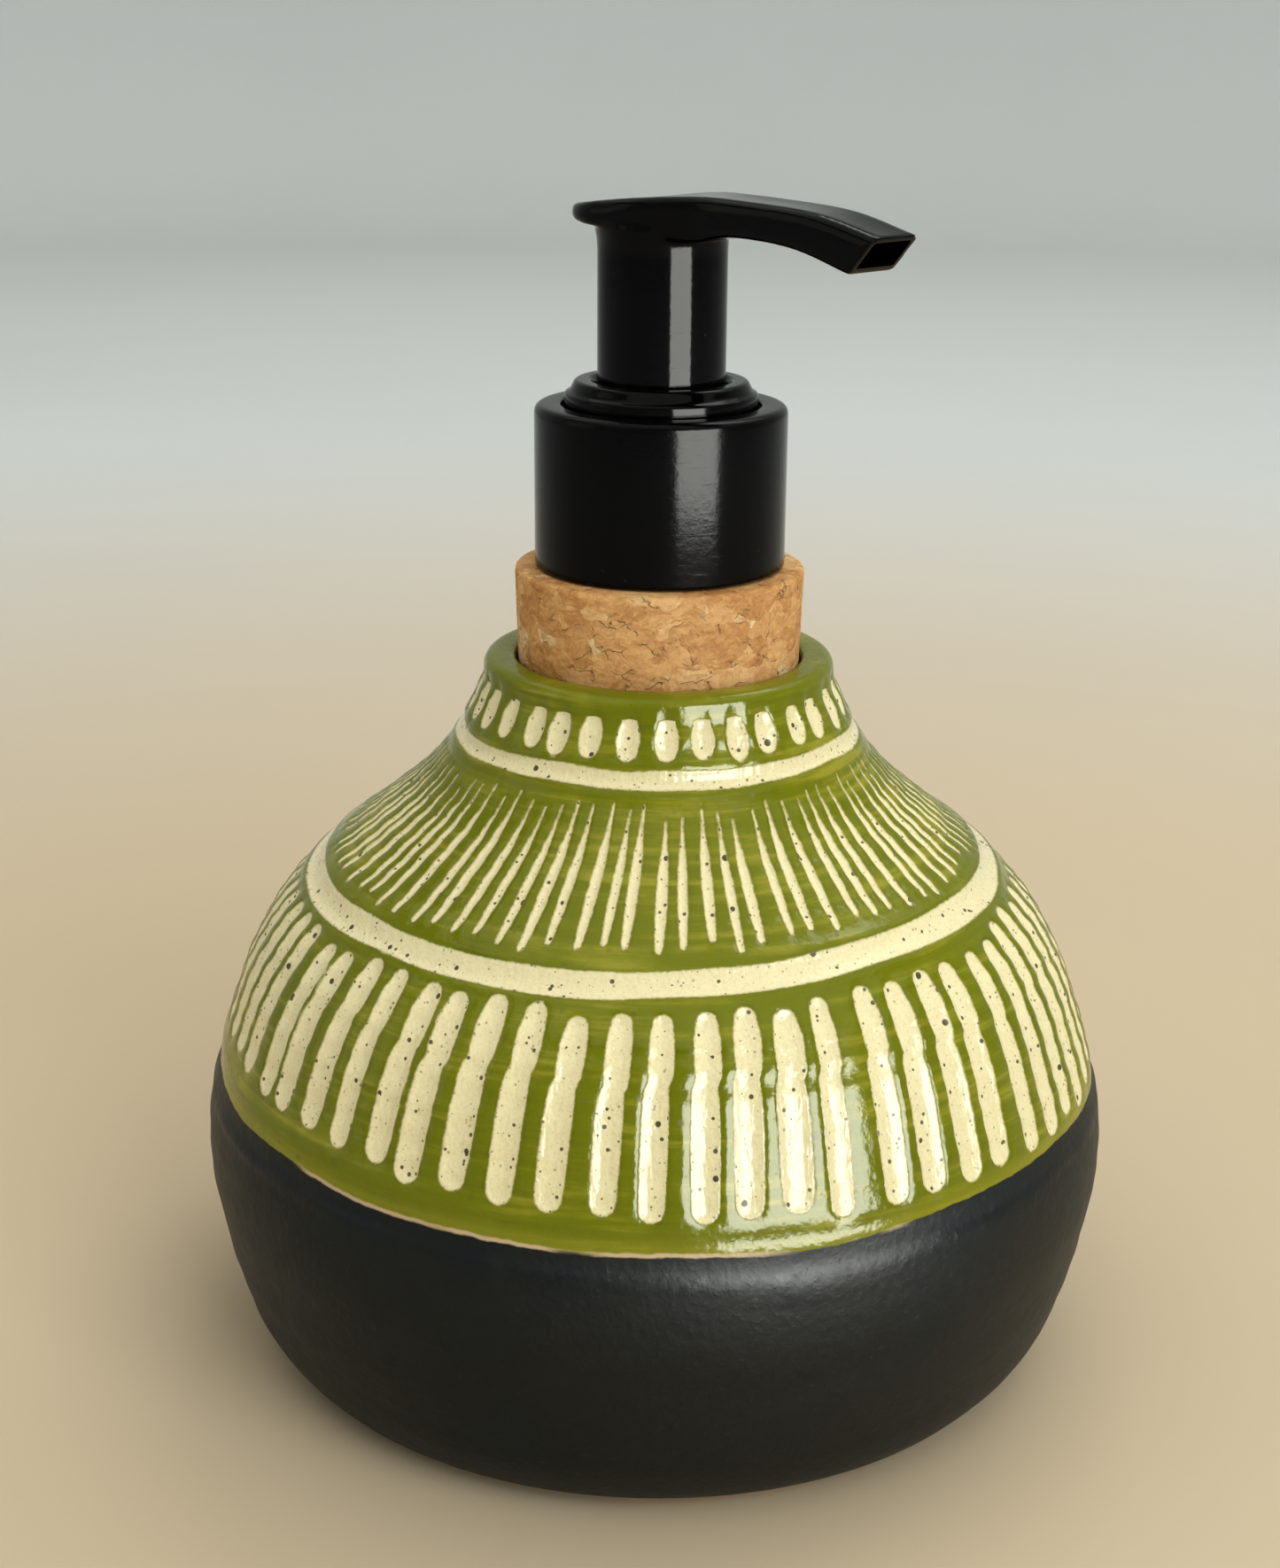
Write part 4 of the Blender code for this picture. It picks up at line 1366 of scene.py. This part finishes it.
class Duty(Enum):
    """What a studio light is for."""

    BOTH = "light and reflection"
    FILL = "light alone"
    SHINE = "reflection alone"


@dataclass
class Studio:
    """The pale floor and wall, soft lights and the camera."""

    turned: float = 45.0
    distance: float = 0.278
    eye_height: float = 0.164
    down: float = 18.45
    yaw: float = 0.44
    roll: float = 0.45
    focal: float = 54.35
    near: Colour = (0.60, 0.495, 0.345)
    far: Colour = (0.64, 0.665, 0.655)

    def stage(self) -> None:
        """A round floor and a pale wall that curves up out of it."""
        floor = turn("floor", [(0.0, 0.0), (1650.0, 0.0), (1650.0, -12.0), (0.0, -12.0)], 96)
        floor.data.materials.append(StudioSurface("floor_paint", self.near, self.far).material())
        section = rounded(
            [(900.0, -0.6, 0.0), (1100.0, 1.0, 60.0), (1600.0, 1.0, 380.0), (1600.0, 1900.0, 0.0),
             (1612.0, 1900.0, 0.0), (1612.0, -11.0, 0.0), (900.0, -11.0, 0.0)],
            14,
        )
        wall = turn("backdrop", section, 96)
        smooth(wall, 40.0)
        wall.data.materials.append(StudioSurface("wall_paint", self.far, self.far).material())

    def aim(self, obj: bpy.types.Object, place: Vector, target: Vector) -> None:
        """Puts a light somewhere and points it at a target."""
        obj.location = place
        obj.rotation_euler = (target - place).to_track_quat("-Z", "Y").to_euler()

    def around(self, turned: float, distance: float, height: float) -> Vector:
        """A place at an angle to the right of the camera."""
        angle = math.radians(self.turned + turned)
        return Vector((math.sin(angle) * distance, -math.cos(angle) * distance, height))

    def light(
        self, name: str, place: Vector, size: Point, power: float, colour: Colour, duty: Duty = Duty.BOTH
    ) -> None:
        """A rectangular soft light that looks at the pump.

        Args:
            name: Its name.
            place: Where it stands.
            size: Its width and height in metres.
            power: Its power in watts.
            colour: Its colour.
            duty: Whether it lights surfaces, shows in reflections, or both.
        """
        data = bpy.data.lights.new(name, "AREA")
        data.shape = "RECTANGLE"
        data.size, data.size_y = size
        data.energy = power
        data.color = colour
        lamp = bpy.data.objects.new(name, data)
        lamp.visible_camera = False
        lamp.visible_diffuse = duty is not Duty.SHINE
        lamp.visible_glossy = duty is not Duty.FILL
        bpy.context.scene.collection.objects.link(lamp)
        self.aim(lamp, place, Vector((0.0, 0.0, 0.07)))

    def lights(self) -> None:
        """A tall window low on the right, a soft ceiling and weak fills."""
        self.light("window", self.around(35.0, 0.9, 0.55), (0.6, 0.6), 4.5, (0.94, 0.98, 1.0), Duty.FILL)
        self.light("gleam", self.around(33.0, 0.43, 0.14), (0.30, 0.27), 4.0, (1.0, 1.0, 0.95), Duty.SHINE)
        self.light("ceiling", Vector((0.1, 0.1, 1.3)), (2.6, 2.6), 18.0, (1.0, 0.98, 0.94))
        self.light("left_fill", self.around(-80.0, 1.1, 0.5), (0.6, 0.8), 0.7, (1.0, 0.95, 0.88))
        self.light("wall_wash", self.around(150.0, 0.7, 1.2), (1.0, 0.4), 3.0, (0.97, 0.99, 1.0))
        world = bpy.data.worlds.new("room")
        world.use_nodes = True
        background = world.node_tree.nodes["Background"]
        background.inputs["Color"].default_value = (0.80, 0.80, 0.78, 1.0)
        background.inputs["Strength"].default_value = 0.12
        bpy.context.scene.world = world

    def camera(self) -> None:
        """A camera at the level of the pump's head, looking down at the body."""
        data = bpy.data.cameras.new("camera")
        data.lens = self.focal
        data.sensor_width = 36.0
        data.clip_start = 0.01
        camera = bpy.data.objects.new("camera", data)
        bpy.context.scene.collection.objects.link(camera)
        heading = math.radians(self.turned + self.yaw)
        down = math.radians(self.down)
        level = math.cos(down)
        look = Vector((-math.sin(heading) * level, math.cos(heading) * level, -math.sin(down)))
        tilted = Matrix.Rotation(math.radians(self.roll), 3, "Z").to_quaternion()
        turn_to = look.to_track_quat("-Z", "Y") @ tilted
        camera.location = self.around(0.0, self.distance, self.eye_height)
        camera.rotation_mode = "QUATERNION"
        camera.rotation_quaternion = turn_to
        bpy.context.scene.camera = camera

    def tone(self) -> None:
        """A plain display with firm contrast."""
        view = bpy.context.scene.view_settings
        view.view_transform = "Standard"
        view.look = "Medium High Contrast"


def main() -> None:
    """Builds every piece in order."""
    logging.basicConfig(level=logging.INFO, format="%(message)s")
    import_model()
    studio = Studio()
    studio.camera()
    studio.stage()
    studio.lights()
    studio.tone()

    black = BlackPlastic().material()
    grained = BlackPlastic("collar_plastic", roughness=0.11, peel=0.6).material()
    milky = NaturalPlastic().material()
    clear = NaturalPlastic("milky_barrel", (0.82, 0.83, 0.80), 0.62, 0.22).material()
    soft = NaturalPlastic("seal", (0.70, 0.70, 0.66), 1.0, 0.5).material()
    dress(CarvedBottle().build(), CarvedGlaze().material(), "bottle", "glaze", "ceramic_bottle")
    dress(CorkStopper().build(), Cork().material(), "stopper", "cork", "cork_stopper")
    closure = Closure()
    dress(closure.collar(), grained, "stopper", "black_plastic", "closure_collar")
    dress(closure.lock_ring(), black, "stopper", "black_plastic", "lock_ring")
    dress(closure.neck(), milky, "stopper", "natural_plastic", "neck_insert")
    dress(closure.gasket(), soft, "stopper", "seal", "gasket")
    dress(PumpHead().build(), black, "head", "black_plastic", "actuator_head")
    works = PumpWorks()
    dress(works.housing(), clear, "stopper", "natural_plastic", "pump_housing")
    dress(works.cage(), milky, "stopper", "natural_plastic", "ball_cage")
    dress(works.dip_tube(), clear, "stopper", "natural_plastic", "dip_tube")
    dress(works.stem(), milky, "head", "natural_plastic", "piston_stem")
    dress(works.piston(), soft, "plunger", "seal", "piston")
    dress(works.ball("steel_ball", "inlet_ball"), Metal("ball_steel", roughness=0.06).material(),
          "inlet_valve", "steel", "inlet_ball")
    dress(works.ball("glass_ball", "outlet_ball"), Glass().material(), "outlet_valve", "glass", "outlet_ball")
    spring = works.spring()
    dress(spring, Metal().material(), "stopper", "steel", "return_spring")
    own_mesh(spring)
    deselect()


if __name__ == "__main__":
    main()
